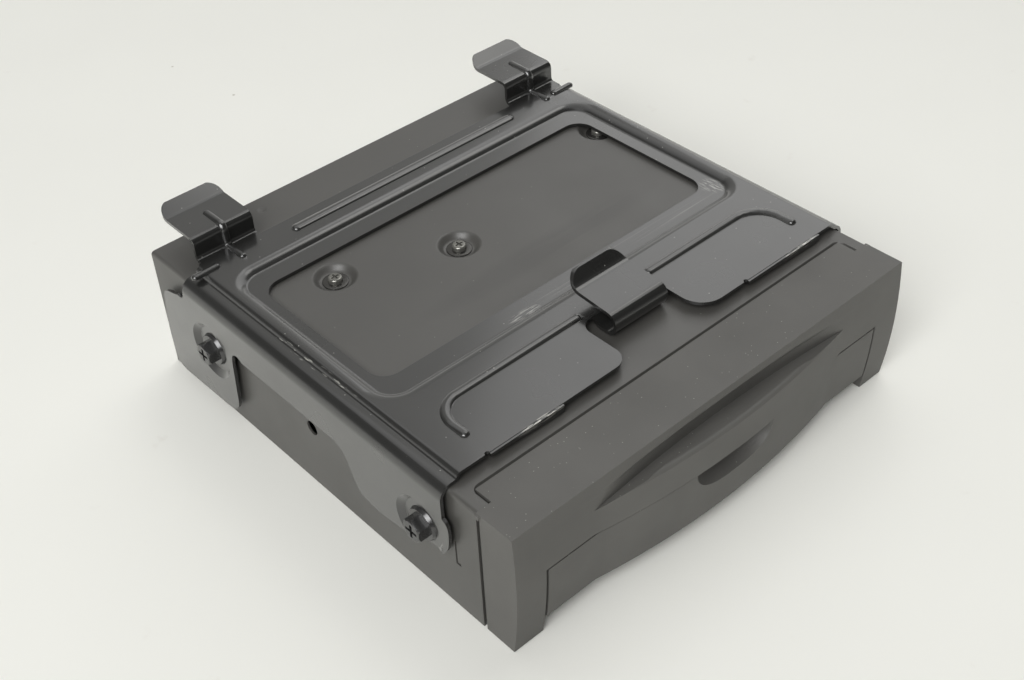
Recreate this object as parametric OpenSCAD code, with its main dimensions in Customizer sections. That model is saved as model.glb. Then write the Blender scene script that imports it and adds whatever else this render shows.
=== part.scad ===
// Slot-loading disc drive for a car navigation unit, one-DIN size, with its stamped mounting bracket.
// Inside the modules x runs to the right from the middle, y runs back from the bezel's front plane
// and z runs up from the case's floor. The finished part has its origin at the middle of that floor.

/* [Case] */
// Width of the case and of the bezel
case_w = 178; // [174:0.5:186]
// Height of the case
case_h = 50.6; // [49.8:0.2:54]
// Depth from the bezel's front plane to the rear of the case
case_d = 188; // [186:0.5:200]
// Sheet thickness of the top cover
cover_t = 0.8; // [0.6:0.1:1]
// Sheet thickness of the bottom chassis
chassis_t = 1; // [0.8:0.1:1.2]
// Height of the bracket screws and the side holes over the floor
side_hole_z = 28.5; // [27:0.5:30]
// Diameter of the plain hole in each side
side_hole_d = 5.4; // [4:0.1:6]

/* [Bezel] */
// Depth of the bezel's top at its ends
seam_y = 15; // [14:0.5:16]
// Depth of the bezel's tongue over the cover
tongue_y = 22; // [20:0.5:24]
// Half width of that tongue
tongue_x = 83; // [80:0.5:84]
// Wall of the bezel
bezel_wall = 2.2; // [1.8:0.1:2.6]
// How far the lip and the flap bulge forward
bulge = 5.7; // [4:0.1:7]
// Half width of that bulge
bulge_x = 58; // [52:0.5:64]
// Width of the flap
flap_w = 152.6; // [148:0.2:154]
// Height of the flap's lower edge
flap_z = 7; // [6.4:0.1:8]
// Height of the lip's lower edge
lip_z = 29.9; // [29.5:0.1:31]
// Gap round the flap
flap_gap = 1; // [0.6:0.1:1.4]
// Diameter of the flap's hinge pins
flap_pin_d = 2.5; // [2:0.1:3]
// Width of the disc slot
slot_w = 124; // [122:0.5:126]
// Height of the disc slot
slot_h = 5.2; // [5:0.1:5.6]

/* [Bracket] */
// Sheet thickness of the bracket
bracket_t = 1.2; // [1:0.1:1.4]
// Height of the bracket's plate over the case
plate_lift = 3.6; // [3.4:0.1:4.6]
// Height of the sunk band over the case
band_lift = 1.7; // [1.6:0.1:2]
// Gap from the case's side to the bracket's flange
flange_gap = 1.7; // [1.4:0.1:2.4]
// Width of each hook
hook_w = 24; // [20:0.5:26]
// Height of the rear hooks over the case
rear_hook_lift = 11.6; // [10:0.2:13]
// Height of the front hook over the case
front_hook_lift = 9.2; // [9:0.2:10]

/* [Drive] */
// Distance of the spindle from the bezel's front plane
spindle_y = 92; // [91.5:0.5:93]
// Height of the disc's seat on the turntable
seat_z = 21.4; // [21:0.1:22]
// Height of the deck's underside
deck_z = 11.5; // [11.2:0.1:11.6]
// Half width of the deck over its walls
deck_x = 66; // [66:0.1:67]
// Sheet thickness of the deck and the arms
deck_t = 1.2; // [1:0.1:1.3]
// Diameter of the loading roller
roller_d = 7.2; // [6.8:0.1:7.4]
// Diameter of the pickup's rails
rail_d = 3; // [2.6:0.1:3.2]
// Module of the loading gears
gear_m = 0.5; // [0.45:0.01:0.52]
// Teeth on the roller's gear
roller_teeth = 16; // [15:1:17]
// Teeth on the idler
idler_teeth = 22; // [21:1:23]
// Teeth on the motor's pinion
pinion_teeth = 10; // [9:1:11]

/* [Fits] */
// Radial clearance of what turns on a pin or slides on a rail
run_gap = 0.05; // [0.03:0.01:0.08]
// Gap between parts that pass each other
free_gap = 0.3; // [0.2:0.05:0.4]

/* [Hidden] */
$fn = 64;

// Case
half_w = case_w / 2;
inner_x = half_w - cover_t;
fold_gap = 0.2;
cover_r = 1.4;
cover_foot = 0.2;
dimple_spot = [-46.5, case_d - 7];
dimple_r = 6;
dimple_depth = 0.4;
chassis_x = inner_x - fold_gap;
rear_wall_y = case_d - chassis_t - 0.4;
chassis_rim = 13;
tab_w = 22;
tab_z = side_hole_z + 8;
front_screw_y = 39;
rear_screw_y = case_d - 36;
side_hole_y = 97.4;
screw_ys = [front_screw_y, rear_screw_y];
cover_screw_spots = [[-51.6, case_d - 57.8], [-9.6, case_d - 73.8], [77, case_d - 55.5]];
dish_r = 8.2;
dish_floor_r = 4.9;
dish_depth = 2.2;
cover_hole_r = 1.8;
cover_screw_r = 1.6;
snap_y = 25;
snap_w = 2.2;
snap_z0 = 20;
snap_z1 = 30;

// Bezel
front_r = 191;
front_apex_z = 31;
front_apex = 1;
lip_crest_z = 40.2;
trough_z = 39.8;
plan_r = (bulge_x * bulge_x + bulge * bulge) / (2 * bulge);
plan_y = plan_r - bulge - front_apex;
plan_angle = 2 * asin((bulge_x + 8) / plan_r);
bezel_z = 0.3;
front_back = 2.2;
inner_wall_y = 9;
inner_wall_t = 2;
inner_wall_back = inner_wall_y + inner_wall_t;
leg_x = flap_w / 2 + flap_gap;
slot_z = 26;
tongue_t = 1.2;
tray_sink = tongue_t + fold_gap;
skirt_y = 19;
skirt_t = 1.4;
scoop_r = 4.4;
scoop_z = 44;
scoop_back = 2;
scoop_bend = 590;
pin_y = 4;
pin_z = flap_z + 3;
flap_top = lip_z - free_gap - 0.35;
flap_pin_r = flap_pin_d / 2;
ear_r = flap_pin_r + 1.9;
ear_t = 3.4;
notch_r = 21;
notch_depth = 11;
flap_back = 0.4;
notch_h = 9;

// Eject button
button_x = 50;
button_z = 14.5;
button_w = 10;
button_h = 5;
button_r = 2.2;
button_travel = 1.2;
button_proud = 1.5;
button_rim = 1;
button_slack = 0.25;
switch_y = inner_wall_back + 0.4 + button_rim + button_travel + 0.2;
switch_d = 3.4;
board_t = 1.6;
eject_board_y = switch_y + switch_d;

// Bracket heights and places
plate_top = case_h + plate_lift;
band_top = case_h + band_lift;
plate_xs = [-83.2, 84.8];
step_xs = [-83, 84.6];
step_y0 = 61.9;
step_y1 = case_d - 35.1;
step_r = 12;
window_x = 74.8;
window_y0 = 75;
window_y1 = case_d - 47.3;
window_r = 7;
plate_y0 = 27.4;
plate_y1 = case_d - 23;
flange_x = half_w + flange_gap + bracket_t;
bend_r = 5;
fold_r = 1.5;
step_high_r = 5.5;
step_low_r = 2;
flange_top = band_top - bend_r;
dish_in = flange_gap;
dish_face = half_w + bracket_t;
bracket_hole_r = 2.9;
bead_h = 1.1;
lip_starts = [-72.5, 41.5];
bead_sink = 0.3;

// Fasteners
screw_r = 2.4;
screw_head_r = 4.3;
screw_flange_r = 6.2;
nut_r = 4.6;
nut_h = 4;

// Drive heights and places
deck_top = deck_z + deck_t;
deck_y0 = 32;
deck_y1 = case_d - 20;
wall_y0 = 20;
wall_y1 = case_d - 36;
wall_top = 30;
deck_hole_x = 31;
wall_in = deck_x - deck_t;
traverse_z = deck_top + 0.8;
traverse_t = 1.4;
traverse_top = traverse_z + traverse_t;
traverse_x = 41;
traverse_y0 = 74;
traverse_y1 = deck_y1;
foot_x = traverse_x - 3.5;
foot_ys = [traverse_y0 + 4, traverse_y1 - 18];
ear_y = [44, case_d - 52];
ear_x = (deck_x + chassis_x) / 2;
damper_r = 6;
damper_neck = 4;
damper_low = 3.6;
damper_pin_r = 1.6;
damper_z0 = deck_z - damper_low;
damper_z1 = deck_top + damper_low;
rail_r = rail_d / 2;
rail_x = 24;
rail_z = traverse_top + 2;
rail_y0 = 103;
rail_y1 = case_d - 21.5;
rail_block = 3;
sled_y0 = 109;
sled_l = 20;
sled_top = rail_z + 2;
sled_travel = rail_y1 - rail_block - 2.5 - sled_y0 - sled_l;
echo(pickup_travel = sled_travel);
lens_y = sled_y0 + sled_l / 2;
lens_w = 9;
lens_r = 2.4;
lens_rise = 0.6;
lens_gap = 0.4;
screw_x = -34;
screw_z = rail_z + 1.6;
lead_r = 1.5;
lead_y0 = 103.4;
feed_y = case_d - 32;
lead_y1 = feed_y + 4;
feed_r = 4.8;
feed_l = 11;
table_r = 14.5;
hub_r = 7.3;
hub_h = 2.2;
motor_r = 9;
spindle_r = 1.2;

// Clamp
clamp_pivot_y = case_d - 41;
clamp_pivot_z = 29.5;
clamp_pivot_r = 1.5;
clamp_z = 31.2;
clamp_nose_r = 11;
clamp_ear_x = 44;
clamp_lug_x = clamp_ear_x - free_gap - deck_t;
puck_r = 13;
puck_hole_r = 6;
puck_z = 28.5;
puck_body = 2.2;
cam_x = deck_x + free_gap;
cam_t = 1.2;
cam_z0 = 18;
cam_travel = 10;
cam_rise = 3.1;
cam_top = clamp_z - 0.25;
finger_y = clamp_pivot_y - 27;
cam_ramp_y = finger_y - 8;
cam_y0 = finger_y - 24;
cam_y1 = finger_y + 26;
finger_w = 4;
cam_pin_r = 1.5;
cam_pin_z = 22;
cam_pin_ys = [finger_y - 12, finger_y + 16];

// Loading roller
guide_z = 27.6;
guide_t = 1.6;
guide_y1 = 66;
nip = 1;
roller_r = roller_d / 2;
roller_y = 26;
roller_z = guide_z - nip - roller_r;
arm_pivot_y = 62;
arm_pivot_z = roller_z;
arm_pin_r = 1.5;
arm_x = wall_in - free_gap - deck_t;
shaft_r = 1.5;
bush_r = 2.6;
gear_x = arm_x - 0.6;
gear_w = 2;
roller_x = gear_x - gear_w - 2.1;
gear_slack = 0.1;
idler_tilt = -15;
pinion_tilt = -5;
idler_reach = gear_m * (roller_teeth + idler_teeth) / 2 + gear_slack;
pinion_reach = gear_m * (idler_teeth + pinion_teeth) / 2 + gear_slack;
idler_y = roller_y + idler_reach * cos(idler_tilt);
idler_z = roller_z + idler_reach * sin(idler_tilt);
pinion_y = idler_y + pinion_reach * cos(pinion_tilt);
pinion_z = idler_z + pinion_reach * sin(pinion_tilt);
idler_pin_r = 1;
pinion_shaft_r = 0.75;
motor_plate_x = gear_x - gear_w - 1.6;
load_motor_r = 4.8;
load_motor_l = 14;
bar_y0 = 50;
bar_y1 = 57;
bar_z = 17;
gear_notch_x = 56;
gear_notch_y = 47;

// Boards and sockets
board_z = 5;
board_top = board_z + board_t;
board_x = 80;
board_y0 = 30;
board_y1 = case_d - 8;
post_x = board_x - 4;
post_ys = [58, case_d - 66, case_d - 12];
post_r = 3;
harness_x = -34;
harness_w = 52;
harness_h = 15;
harness_y = rear_wall_y - 9;
harness_out = 1.6;
harness_pin_r = 0.5;
antenna_xs = [26, 46];
antenna_z = board_top + 7;
antenna_r = 4.4;
brace_z = case_h - cover_t - 6.2;
brace_t = 1.2;
brace_post_top = case_h - dish_depth - cover_t;
spring_x = deck_x + 7;
spring_ys = [62, case_d - 70];
brace_x = spring_x + 6;
brace_y0 = 56;
brace_y1 = case_d - 52;
spring_coil_r = 2.6;
spring_wire_r = 0.35;
spring_turns = 8;

// Moves a module's front-plane measures onto the part's origin
module in_place() {
    translate([0, -case_d / 2, 0]) children();
}

// Both sides of the part
module both_sides() {
    children();
    mirror([1, 0, 0]) children();
}

// A flat shape in x and z drawn out along y
module along_y(y0, y1) {
    translate([0, y1, 0]) rotate([90, 0, 0]) linear_extrude(y1 - y0) children();
}

// A flat shape in y and z drawn out along x
module along_x(x0, x1) {
    translate([x0, 0, 0]) rotate([90, 0, 90]) linear_extrude(x1 - x0) children();
}

// A box given by its two corners
module block(lo, hi) {
    translate(lo) cube(hi - lo);
}

// A round bar along x
module bar_x(x0, x1, y, z, r) {
    translate([x0, y, z]) rotate([0, 90, 0]) cylinder(r = r, h = x1 - x0);
}

// A round bar along y
module bar_y(y0, y1, x, z, r) {
    translate([x, y0, z]) rotate([-90, 0, 0]) cylinder(r = r, h = y1 - y0);
}

// A rectangle with round corners, given by its two corners
module round_rect(lo, hi, r) {
    translate([lo[0] + r, lo[1]]) square([hi[0] - lo[0] - 2 * r, hi[1] - lo[1]]);
    translate([lo[0], lo[1] + r]) square([hi[0] - lo[0], hi[1] - lo[1] - 2 * r]);
    for (x = [lo[0] + r, hi[0] - r])
        for (y = [lo[1] + r, hi[1] - r])
            translate([x, y]) circle(r);
}

// The same rectangle as a plate
module round_plate(lo, hi, r, z, t) {
    translate([0, 0, z]) linear_extrude(t) round_rect(lo, hi, r);
}

// Points on an arc
function arc(c, r, a0, a1, n) = [for (i = [0:n]) c + r * [cos(a0 + (a1 - a0) * i / n),
    sin(a0 + (a1 - a0) * i / n)]];

// A cross recess cut into a screw's head
module cross_cut(w, arm, depth) {
    for (a = [0, 90])
        rotate(a) translate([-arm, -w / 2, -depth]) cube([2 * arm, w, depth + 1]);
}

// TOP COVER

module cover_outline(x, top, r) {
    translate([-x, cover_foot]) square([2 * x, top - r - cover_foot]);
    translate([r - x, 1]) square([2 * (x - r), top - 1]);
    for (s = [-1, 1])
        translate([s * (x - r), top - r]) circle(r);
}

module cover_tray_cut() {
    slope = 1.1;
    hull() {
        translate([0, 0, case_h - tray_sink])
            linear_extrude(0.01)
                round_rect([-tongue_x - 0.4, seam_y - 9], [tongue_x + 0.4, tongue_y + 0.4], 2, $fn = 32);
        translate([0, 0, case_h + 0.1])
            linear_extrude(0.01)
                round_rect([-tongue_x - slope, seam_y - 9], [tongue_x + slope, tongue_y + slope], 3,
                    $fn = 32);
    }
}

module screw_dish() {
    slope = [for (t = [0:0.125:1])
        [dish_floor_r + (dish_r - dish_floor_r) * t, -dish_depth * (1 + cos(180 * t)) / 2]];
    rotate_extrude() polygon(concat([[cover_hole_r, -dish_depth]], slope,
        [for (i = [8:-1:0]) slope[i] - [0, cover_t]], [[cover_hole_r, -dish_depth - cover_t]]));
}

module top_cover() {
    tray_wall = 1.6;
    color("#26272a") {
        difference() {
            union() {
                difference() {
                    along_y(seam_y, case_d) cover_outline(half_w, case_h, cover_r);
                    along_y(seam_y - 1, case_d + 1) translate([0, -1.5])
                        cover_outline(inner_x, case_h - cover_t + 1.5, cover_r - cover_t / 2);
                }
                block([-tongue_x - tray_wall, seam_y, case_h - tray_sink - cover_t],
                    [tongue_x + tray_wall, tongue_y + tray_wall, case_h - cover_t / 2]);
            }
            cover_tray_cut();
            for (p = cover_screw_spots)
                translate([p[0], p[1], case_h - 2]) cylinder(r = dish_r, h = 4);
            both_sides() {
                for (y = screw_ys)
                    bar_x(half_w - 3, half_w + 1, y, side_hole_z, screw_r + 0.3);
                bar_x(half_w - 3, half_w + 1, side_hole_y, side_hole_z - 1.5, side_hole_d / 2);
                block([half_w - 3, snap_y - snap_w / 2, snap_z0],
                    [half_w + 1, snap_y + snap_w / 2, snap_z1]);
            }
            translate([dimple_spot[0], dimple_spot[1], case_h + dimple_r - dimple_depth])
                sphere(r = dimple_r);
        }
        for (p = cover_screw_spots)
            translate([p[0], p[1], case_h]) screw_dish();
    }
}

module cover_screws() {
    head_r = 2.6;
    washer_r = 4.6;
    washer_t = 0.5;
    head_h = washer_t + 1.8;
    color("#1d1d1f")
        for (p = cover_screw_spots)
            translate([p[0], p[1], case_h - dish_depth]) {
                difference() {
                    rotate_extrude() polygon(concat([[0, 0], [washer_r, 0], [washer_r, washer_t * 0.6],
                        [washer_r - 0.4, washer_t], [head_r, washer_t]],
                        arc([head_r - 0.8, head_h - 0.8], 0.8, 0, 90, 6), [[0, head_h]]));
                    translate([0, 0, head_h]) cross_cut(0.7, 1.5, 0.9);
                }
                translate([0, 0, -cover_t - 4]) cylinder(r = cover_screw_r, h = cover_t + 4.01);
            }
}

// BOTTOM CHASSIS

module bottom_chassis() {
    color("#8d9094")
        difference() {
            union() {
                block([-chassis_x, seam_y + 0.5, 0], [chassis_x, rear_wall_y + chassis_t, chassis_t]);
                block([-chassis_x, rear_wall_y, 0],
                    [chassis_x, rear_wall_y + chassis_t, case_h - cover_t - fold_gap]);
                both_sides() {
                    block([chassis_x - chassis_t, skirt_y + 1, 0],
                        [chassis_x, rear_wall_y + chassis_t, chassis_rim]);
                    for (y = screw_ys)
                        along_x(chassis_x - chassis_t, chassis_x)
                            round_rect([y - tab_w / 2, chassis_t / 2], [y + tab_w / 2, tab_z], 4);
                }
            }
            both_sides()
                for (y = screw_ys)
                    bar_x(chassis_x - chassis_t - 1, chassis_x + 1, y, side_hole_z, screw_r + 0.3);
            block([harness_x - harness_w / 2 - 0.3, rear_wall_y - 1, board_top - 0.3],
                [harness_x + harness_w / 2 + 0.3, case_d + 1, board_top + harness_h + 0.3]);
            for (x = antenna_xs)
                bar_y(rear_wall_y - 1, case_d + 1, x, antenna_z, antenna_r + 0.1);
            for (i = [0:9])
                block([-78 + 4.6 * i, rear_wall_y - 1, 32], [-75.8 + 4.6 * i, case_d + 1, 42]);
        }
}

module clinch_nuts() {
    color("#a4a6a8")
        both_sides()
            for (y = screw_ys)
                difference() {
                    bar_x(chassis_x - chassis_t - nut_h, chassis_x - chassis_t, y, side_hole_z, nut_r);
                    bar_x(chassis_x - chassis_t - nut_h - 1, chassis_x, y, side_hole_z, screw_r + run_gap);
                }
}

// BEZEL AND FLAP

// Inside of the gently arched front
module front_arch(x) {
    bar_x(-x, x, front_r - front_apex, front_apex_z, front_r, $fn = 256);
}

// The same arch swept round the plan curve, between two heights
module bulge_body(z0, z1, inner) {
    translate([0, plan_y, 0]) rotate([0, 0, -90 - plan_angle / 2])
        rotate_extrude(angle = plan_angle, $fn = 512)
            intersection() {
                translate([plan_r - front_r, front_apex_z]) circle(front_r, $fn = 512);
                translate([plan_r - inner, z0]) square([inner + 2, z1 - z0]);
            }
}

// The lip: the bulge with its rounded crest and the trough behind it
module lip_body() {
    crest = plan_r;
    translate([0, plan_y, 0]) rotate([0, 0, -90 - plan_angle / 2])
        rotate_extrude(angle = plan_angle, $fn = 512)
            intersection() {
                translate([plan_r - front_r, front_apex_z]) circle(front_r, $fn = 512);
                polygon(concat([[crest - 9, lip_z], [crest + 2, lip_z], [crest + 2, lip_crest_z - 0.6]],
                    arc([crest - 1.7, lip_crest_z - 0.5], 1.6, 8, 100, 6), [[crest - 9, trough_z]]));
            }
}

// The scoop over the trough, deepest in the middle
module lip_scoop() {
    translate([0, scoop_back - scoop_bend, 0]) rotate([0, 0, 90 - 7])
        rotate_extrude(angle = 14, $fn = 512)
            polygon(concat([[scoop_bend - scoop_r, trough_z + 1], [scoop_bend, trough_z]],
                arc([scoop_bend - scoop_r, scoop_z], scoop_r, 0, 90, 8)));
}

module snap_arm() {
    arm_t = 1.4;
    block([inner_x - 0.4 - arm_t, inner_wall_back - 2, snap_z0 - 1],
        [inner_x - 0.4, snap_y + 2.4, snap_z1 + 1]);
    block([inner_x - 0.5, snap_y - snap_w / 2 + 0.3, snap_z0 + 0.4],
        [half_w - 0.3, snap_y + snap_w / 2 - 0.3, snap_z1 - 0.4]);
}

module bezel_shell() {
    difference() {
        union() {
            intersection() {
                block([-half_w, -3, bezel_z], [half_w, seam_y, case_h]);
                front_arch(half_w);
            }
            intersection() {
                lip_body();
                block([-half_w, -12, lip_z], [half_w, front_back + 1, lip_crest_z + 2]);
            }
        }
        block([-half_w + bezel_wall, front_back, -1],
            [half_w - bezel_wall, seam_y + 1, case_h - bezel_wall]);
        block([-leg_x, -12, -1], [leg_x, front_back + 1, lip_z]);
        both_sides()
            block([half_w - 1, seam_y - 1.5, -1], [half_w + 1, seam_y + 1, case_h - 1.2]);
        lip_scoop();
    }
}

module front_bezel() {
    ear = 0.6;
    color("#202124")
        difference() {
            union() {
                bezel_shell();
                // wall behind the scoop
                block([-bulge_x, front_back - 0.1, trough_z - 2], [bulge_x, front_back + 1.4, case_h - 1]);
                block([-tongue_x, seam_y - 3, case_h - tongue_t], [tongue_x, tongue_y, case_h]);
                block([-half_w + 1, inner_wall_y, 3], [half_w - 1, inner_wall_back, case_h - 1]);
                both_sides() {
                    block([leg_x, front_back - 0.6, bezel_z], [leg_x + 2, inner_wall_back, lip_z + 2]);
                    block([leg_x, front_back - 0.6, bezel_z], [half_w - 1, inner_wall_back, bezel_z + 2]);
                    block([inner_x - 0.3 - skirt_t, inner_wall_back - 1, 3],
                        [inner_x - 0.3, skirt_y, case_h - bezel_wall - 1]);
                    block([half_w - 2, seam_y - 1.6, case_h - 1.8], [half_w + ear, seam_y, case_h - 0.4]);
                    snap_arm();
                }
                for (x = [button_x - 9, button_x + 9])
                    bar_y(inner_wall_back - 1, eject_board_y, x, button_z, 2);
            }
            translate([0, inner_wall_y - 1, 0])
                along_y(0, inner_wall_t + 2)
                    round_rect([-slot_w / 2, slot_z - slot_h / 2], [slot_w / 2, slot_z + slot_h / 2], 2.5);
            along_y(inner_wall_y - 1, inner_wall_back + 1)
                round_rect([button_x - button_w / 2 - button_slack, button_z - button_h / 2 - button_slack],
                    [button_x + button_w / 2 + button_slack, button_z + button_h / 2 + button_slack],
                    button_r);
            both_sides() bar_x(leg_x - 1, leg_x + 3, pin_y, pin_z, flap_pin_r);
        }
}

// A hollow under the lip that lets a finger hook behind the flap's top edge
module finger_notch() {
    shallow = notch_r - notch_depth;
    translate([0, -bulge - front_apex - shallow, flap_top - 0.5]) rotate([0, 0, 25])
        rotate_extrude(angle = 130, $fn = 256)
            polygon(concat([[5, -notch_h], [5, 2], [notch_r, 2]],
                [for (i = [0:9]) [shallow + notch_depth * cos(10 * i), -notch_h * sin(10 * i)]]));
}

module flap_door() {
    x = flap_w / 2;
    color("#202124")
        difference() {
            union() {
                intersection() {
                    block([-x, -3, flap_z], [x, front_back, flap_top]);
                    front_arch(x);
                }
                intersection() {
                    // set back, so that the lip stands over it
                    translate([0, flap_back, 0]) bulge_body(flap_z, flap_top, 9);
                    block([-x, -12, flap_z], [x, front_back, flap_top]);
                }
                both_sides() {
                    bar_x(x - ear_t, x, pin_y, pin_z, ear_r);
                    block([x - ear_t, 1, pin_z - ear_r], [x, pin_y, pin_z + ear_r]);
                }
            }
            both_sides() bar_x(x - ear_t - 1, x + 1, pin_y, pin_z, flap_pin_r + run_gap);
            finger_notch();
            block([-x + 8, 0.4, flap_z + 2], [-bulge_x - 4, front_back + 1, flap_top - 2]);
            block([bulge_x + 4, 0.4, flap_z + 2], [x - 8, front_back + 1, flap_top - 2]);
        }
}

module flap_pins() {
    color("#b4b6b8")
        both_sides() bar_x(flap_w / 2 - ear_t + 0.4, leg_x + 2, pin_y, pin_z, flap_pin_r);
}

// EJECT BUTTON

module eject_button() {
    rim = 1;
    color("#3a3b3e") {
        along_y(inner_wall_y - button_proud, inner_wall_back + 0.4)
            round_rect([button_x - button_w / 2, button_z - button_h / 2],
                [button_x + button_w / 2, button_z + button_h / 2], button_r);
        along_y(inner_wall_back + 0.3, inner_wall_back + 0.3 + button_rim)
            round_rect([button_x - button_w / 2 - rim, button_z - button_h / 2 - rim],
                [button_x + button_w / 2 + rim, button_z + button_h / 2 + rim], button_r);
    }
}

module eject_board() {
    color("#2f6b43")
        difference() {
            along_y(eject_board_y, eject_board_y + 1.2)
                round_rect([button_x - 12, button_z - 6], [button_x + 12, button_z + 6], 1);
            for (x = [button_x - 9, button_x + 9])
                bar_y(eject_board_y - 1, eject_board_y + 3, x, button_z, 0.9);
        }
}

module eject_switch() {
    color("#4a4c50") {
        block([button_x - 3, switch_y + 0.6, button_z - 3], [button_x + 3, eject_board_y, button_z + 3]);
        bar_y(switch_y, switch_y + 0.7, button_x, button_z, 1.6);
    }
}

// MOUNTING BRACKET

// A sheet that steps down by drop over two bends whose radii add up to r
function step_angle(drop, r) = acos(1 - drop / r);
function step_run(drop, r) = r * sin(step_angle(drop, r));

// The sunk band's step as a cross-section
band_run = step_run(plate_top - band_top, step_high_r + step_low_r);
module step_section(drop) {
    a = step_angle(drop, step_high_r + step_low_r);
    h = bracket_t / 2;
    n = 5;
    foot = [band_run, step_low_r - drop];
    polygon(concat(
        arc([0, -step_high_r], step_high_r + h, 90, 90 - a, n),
        arc(foot, step_low_r - h, 270 - a, 270, n),
        arc(foot, step_low_r + h, 270, 270 - a, n),
        arc([0, -step_high_r], step_high_r - h, 90 - a, 90, n)));
}

// The sunk band's step, run round a rectangle
module band_step() {
    drop = plate_top - band_top;
    x0 = step_xs[0] + step_r;
    x1 = step_xs[1] - step_r;
    y0 = step_y0 + step_r;
    y1 = step_y1 - step_r;
    mid = plate_top - bracket_t / 2;
    translate([0, 0, mid]) {
        translate([step_xs[0], 0, 0]) along_y(y0, y1) step_section(drop);
        translate([step_xs[1], 0, 0]) mirror([1, 0, 0]) along_y(y0, y1) step_section(drop);
        translate([0, step_y0, 0]) along_x(x0, x1) step_section(drop);
        translate([0, step_y1, 0]) mirror([0, 1, 0]) along_x(x0, x1) step_section(drop);
        for (c = [[x0, y0, 180], [x1, y0, 270], [x1, y1, 0], [x0, y1, 90]])
            translate([c[0], c[1], 0]) rotate([0, 0, c[2]])
                rotate_extrude(angle = 90)
                    translate([step_r, 0]) mirror([1, 0]) step_section(drop);
    }
}

// What rounding takes off an outline's corner at p, seen from the side the sheet lies on
module corner_cut(p, r, side) {
    translate(p) scale([side, 1])
        difference() {
            translate([-0.1, -1]) square([r + 0.1, r + 1]);
            translate([r, r]) circle(r);
        }
}

// The raised plate's outline with its front cut-outs
module plate_outline() {
    gap_xs = [-14, 19.6];
    difference() {
        translate([plate_xs[0], plate_y0]) square([plate_xs[1] - plate_xs[0], plate_y1 - plate_y0]);
        round_rect([step_xs[0], step_y0], [step_xs[1], step_y1], step_r);
        // the gap between the two tongues, where the front hook stands
        round_rect([gap_xs[0], plate_y0 - 8], [gap_xs[1], 50], 5);
        corner_cut([gap_xs[0], plate_y0], 6, -1);
        corner_cut([gap_xs[1], plate_y0], 9, 1);
        // reliefs where the bent lips start
        for (x = lip_starts)
            translate([x - 0.7, plate_y0]) circle(0.9);
    }
}

// The band between the step and the window
module band_plate() {
    inset = band_run;
    translate([0, 0, band_top - bracket_t])
        linear_extrude(bracket_t)
            difference() {
                round_rect([step_xs[0] + inset, step_y0 + inset], [step_xs[1] - inset, step_y1 - inset],
                    step_r - inset);
                round_rect([-window_x, window_y0], [window_x, window_y1], window_r);
            }
}

// Step down from the plate's edge to the shoulder, and the round bend into the flange, as one section
module side_fold(edge) {
    drop = plate_top - band_top;
    a = step_angle(drop, 2 * fold_r);
    h = bracket_t / 2;
    n = 4;
    mid = plate_top - h;
    bend = [flange_x - bend_r, flange_top];
    high = [edge, mid - fold_r];
    low = [edge + step_run(drop, 2 * fold_r), mid - drop + fold_r];
    along_y(plate_y0, plate_y1 - 1)
        polygon(concat(
            arc(high, fold_r + h, 90, 90 - a, n),
            arc(low, fold_r - h, 270 - a, 270, n),
            arc(bend, bend_r, 90, 0, 7),
            arc(bend, bend_r - bracket_t, 0, 90, 7),
            arc(low, fold_r + h, 270, 270 - a, n),
            arc(high, fold_r - h, 90 - a, 90, n)));
}

// A polygon with its corners eased over a length r along each side
function eased(p, r) = [for (i = [0:len(p) - 1])
    let (b = p[i], u = p[(i + len(p) - 1) % len(p)] - b, v = p[(i + 1) % len(p)] - b,
        c = b + u * min(0.5, r / norm(u)), d = b + v * min(0.5, r / norm(v)))
    for (s = [0:0.25:1]) (1 - s) * (1 - s) * c + 2 * s * (1 - s) * b + s * s * d];

// The flange's outline: a strip with a lobe for each screw
module flange_outline() {
    strip_z = 35.5;
    difference() {
        union() {
            translate([plate_y0, strip_z]) square([plate_y1 - 1 - plate_y0, flange_top - strip_z]);
            // front lobe
            polygon(eased([[81, strip_z], [75.5, 33.6], [72, 25], [69, 19.6], [60, 18.4], [54, 19],
                [39, 21.6], [32, 22.6], [28, 24.6], [25.2, 29.3], [24.6, 38], [27, 40.8],
                [40, strip_z + 4], [81, strip_z + 4]], 3));
            // rear lobe
            translate([rear_screw_y, 0])
                polygon(eased([[-18, strip_z + 3], [-14.2, 35], [-12.1, 9.6], [-7.6, 5.9], [25.5, 5],
                    [29.2, 8], [29.5, 22.5], [27, 39.6], [23.8, 42], [16, 43.7], [12, 48],
                    [-2, strip_z + 5]], 4));
        }
        translate([rear_screw_y - 17.8, 33.2]) circle(3.5);
        translate([rear_screw_y + 14.8, 46.6]) circle(2.6);
    }
}

// A dish pressed in towards the case round a screw
module flange_dish(y, r) {
    slope = 2.4;
    translate([flange_x, y, side_hole_z]) rotate([0, -90, 0])
        rotate_extrude() polygon([[0, dish_in], [r - slope, dish_in], [r, 0], [r, bracket_t],
            [r - slope, dish_in + bracket_t], [0, dish_in + bracket_t]]);
}

module side_flange() {
    difference() {
        union() {
            difference() {
                along_x(flange_x - bracket_t, flange_x) flange_outline();
                for (y = screw_ys)
                    bar_x(flange_x - bracket_t - 1, flange_x + 1, y, side_hole_z, 10.9);
            }
            intersection() {
                union() {
                    for (y = screw_ys)
                        flange_dish(y, 11);
                }
                along_x(half_w - 1, flange_x + 1) flange_outline();
            }
        }
        for (y = screw_ys)
            bar_x(half_w - 3, flange_x + 3, y, side_hole_z, bracket_hole_r);
    }
}

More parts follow.
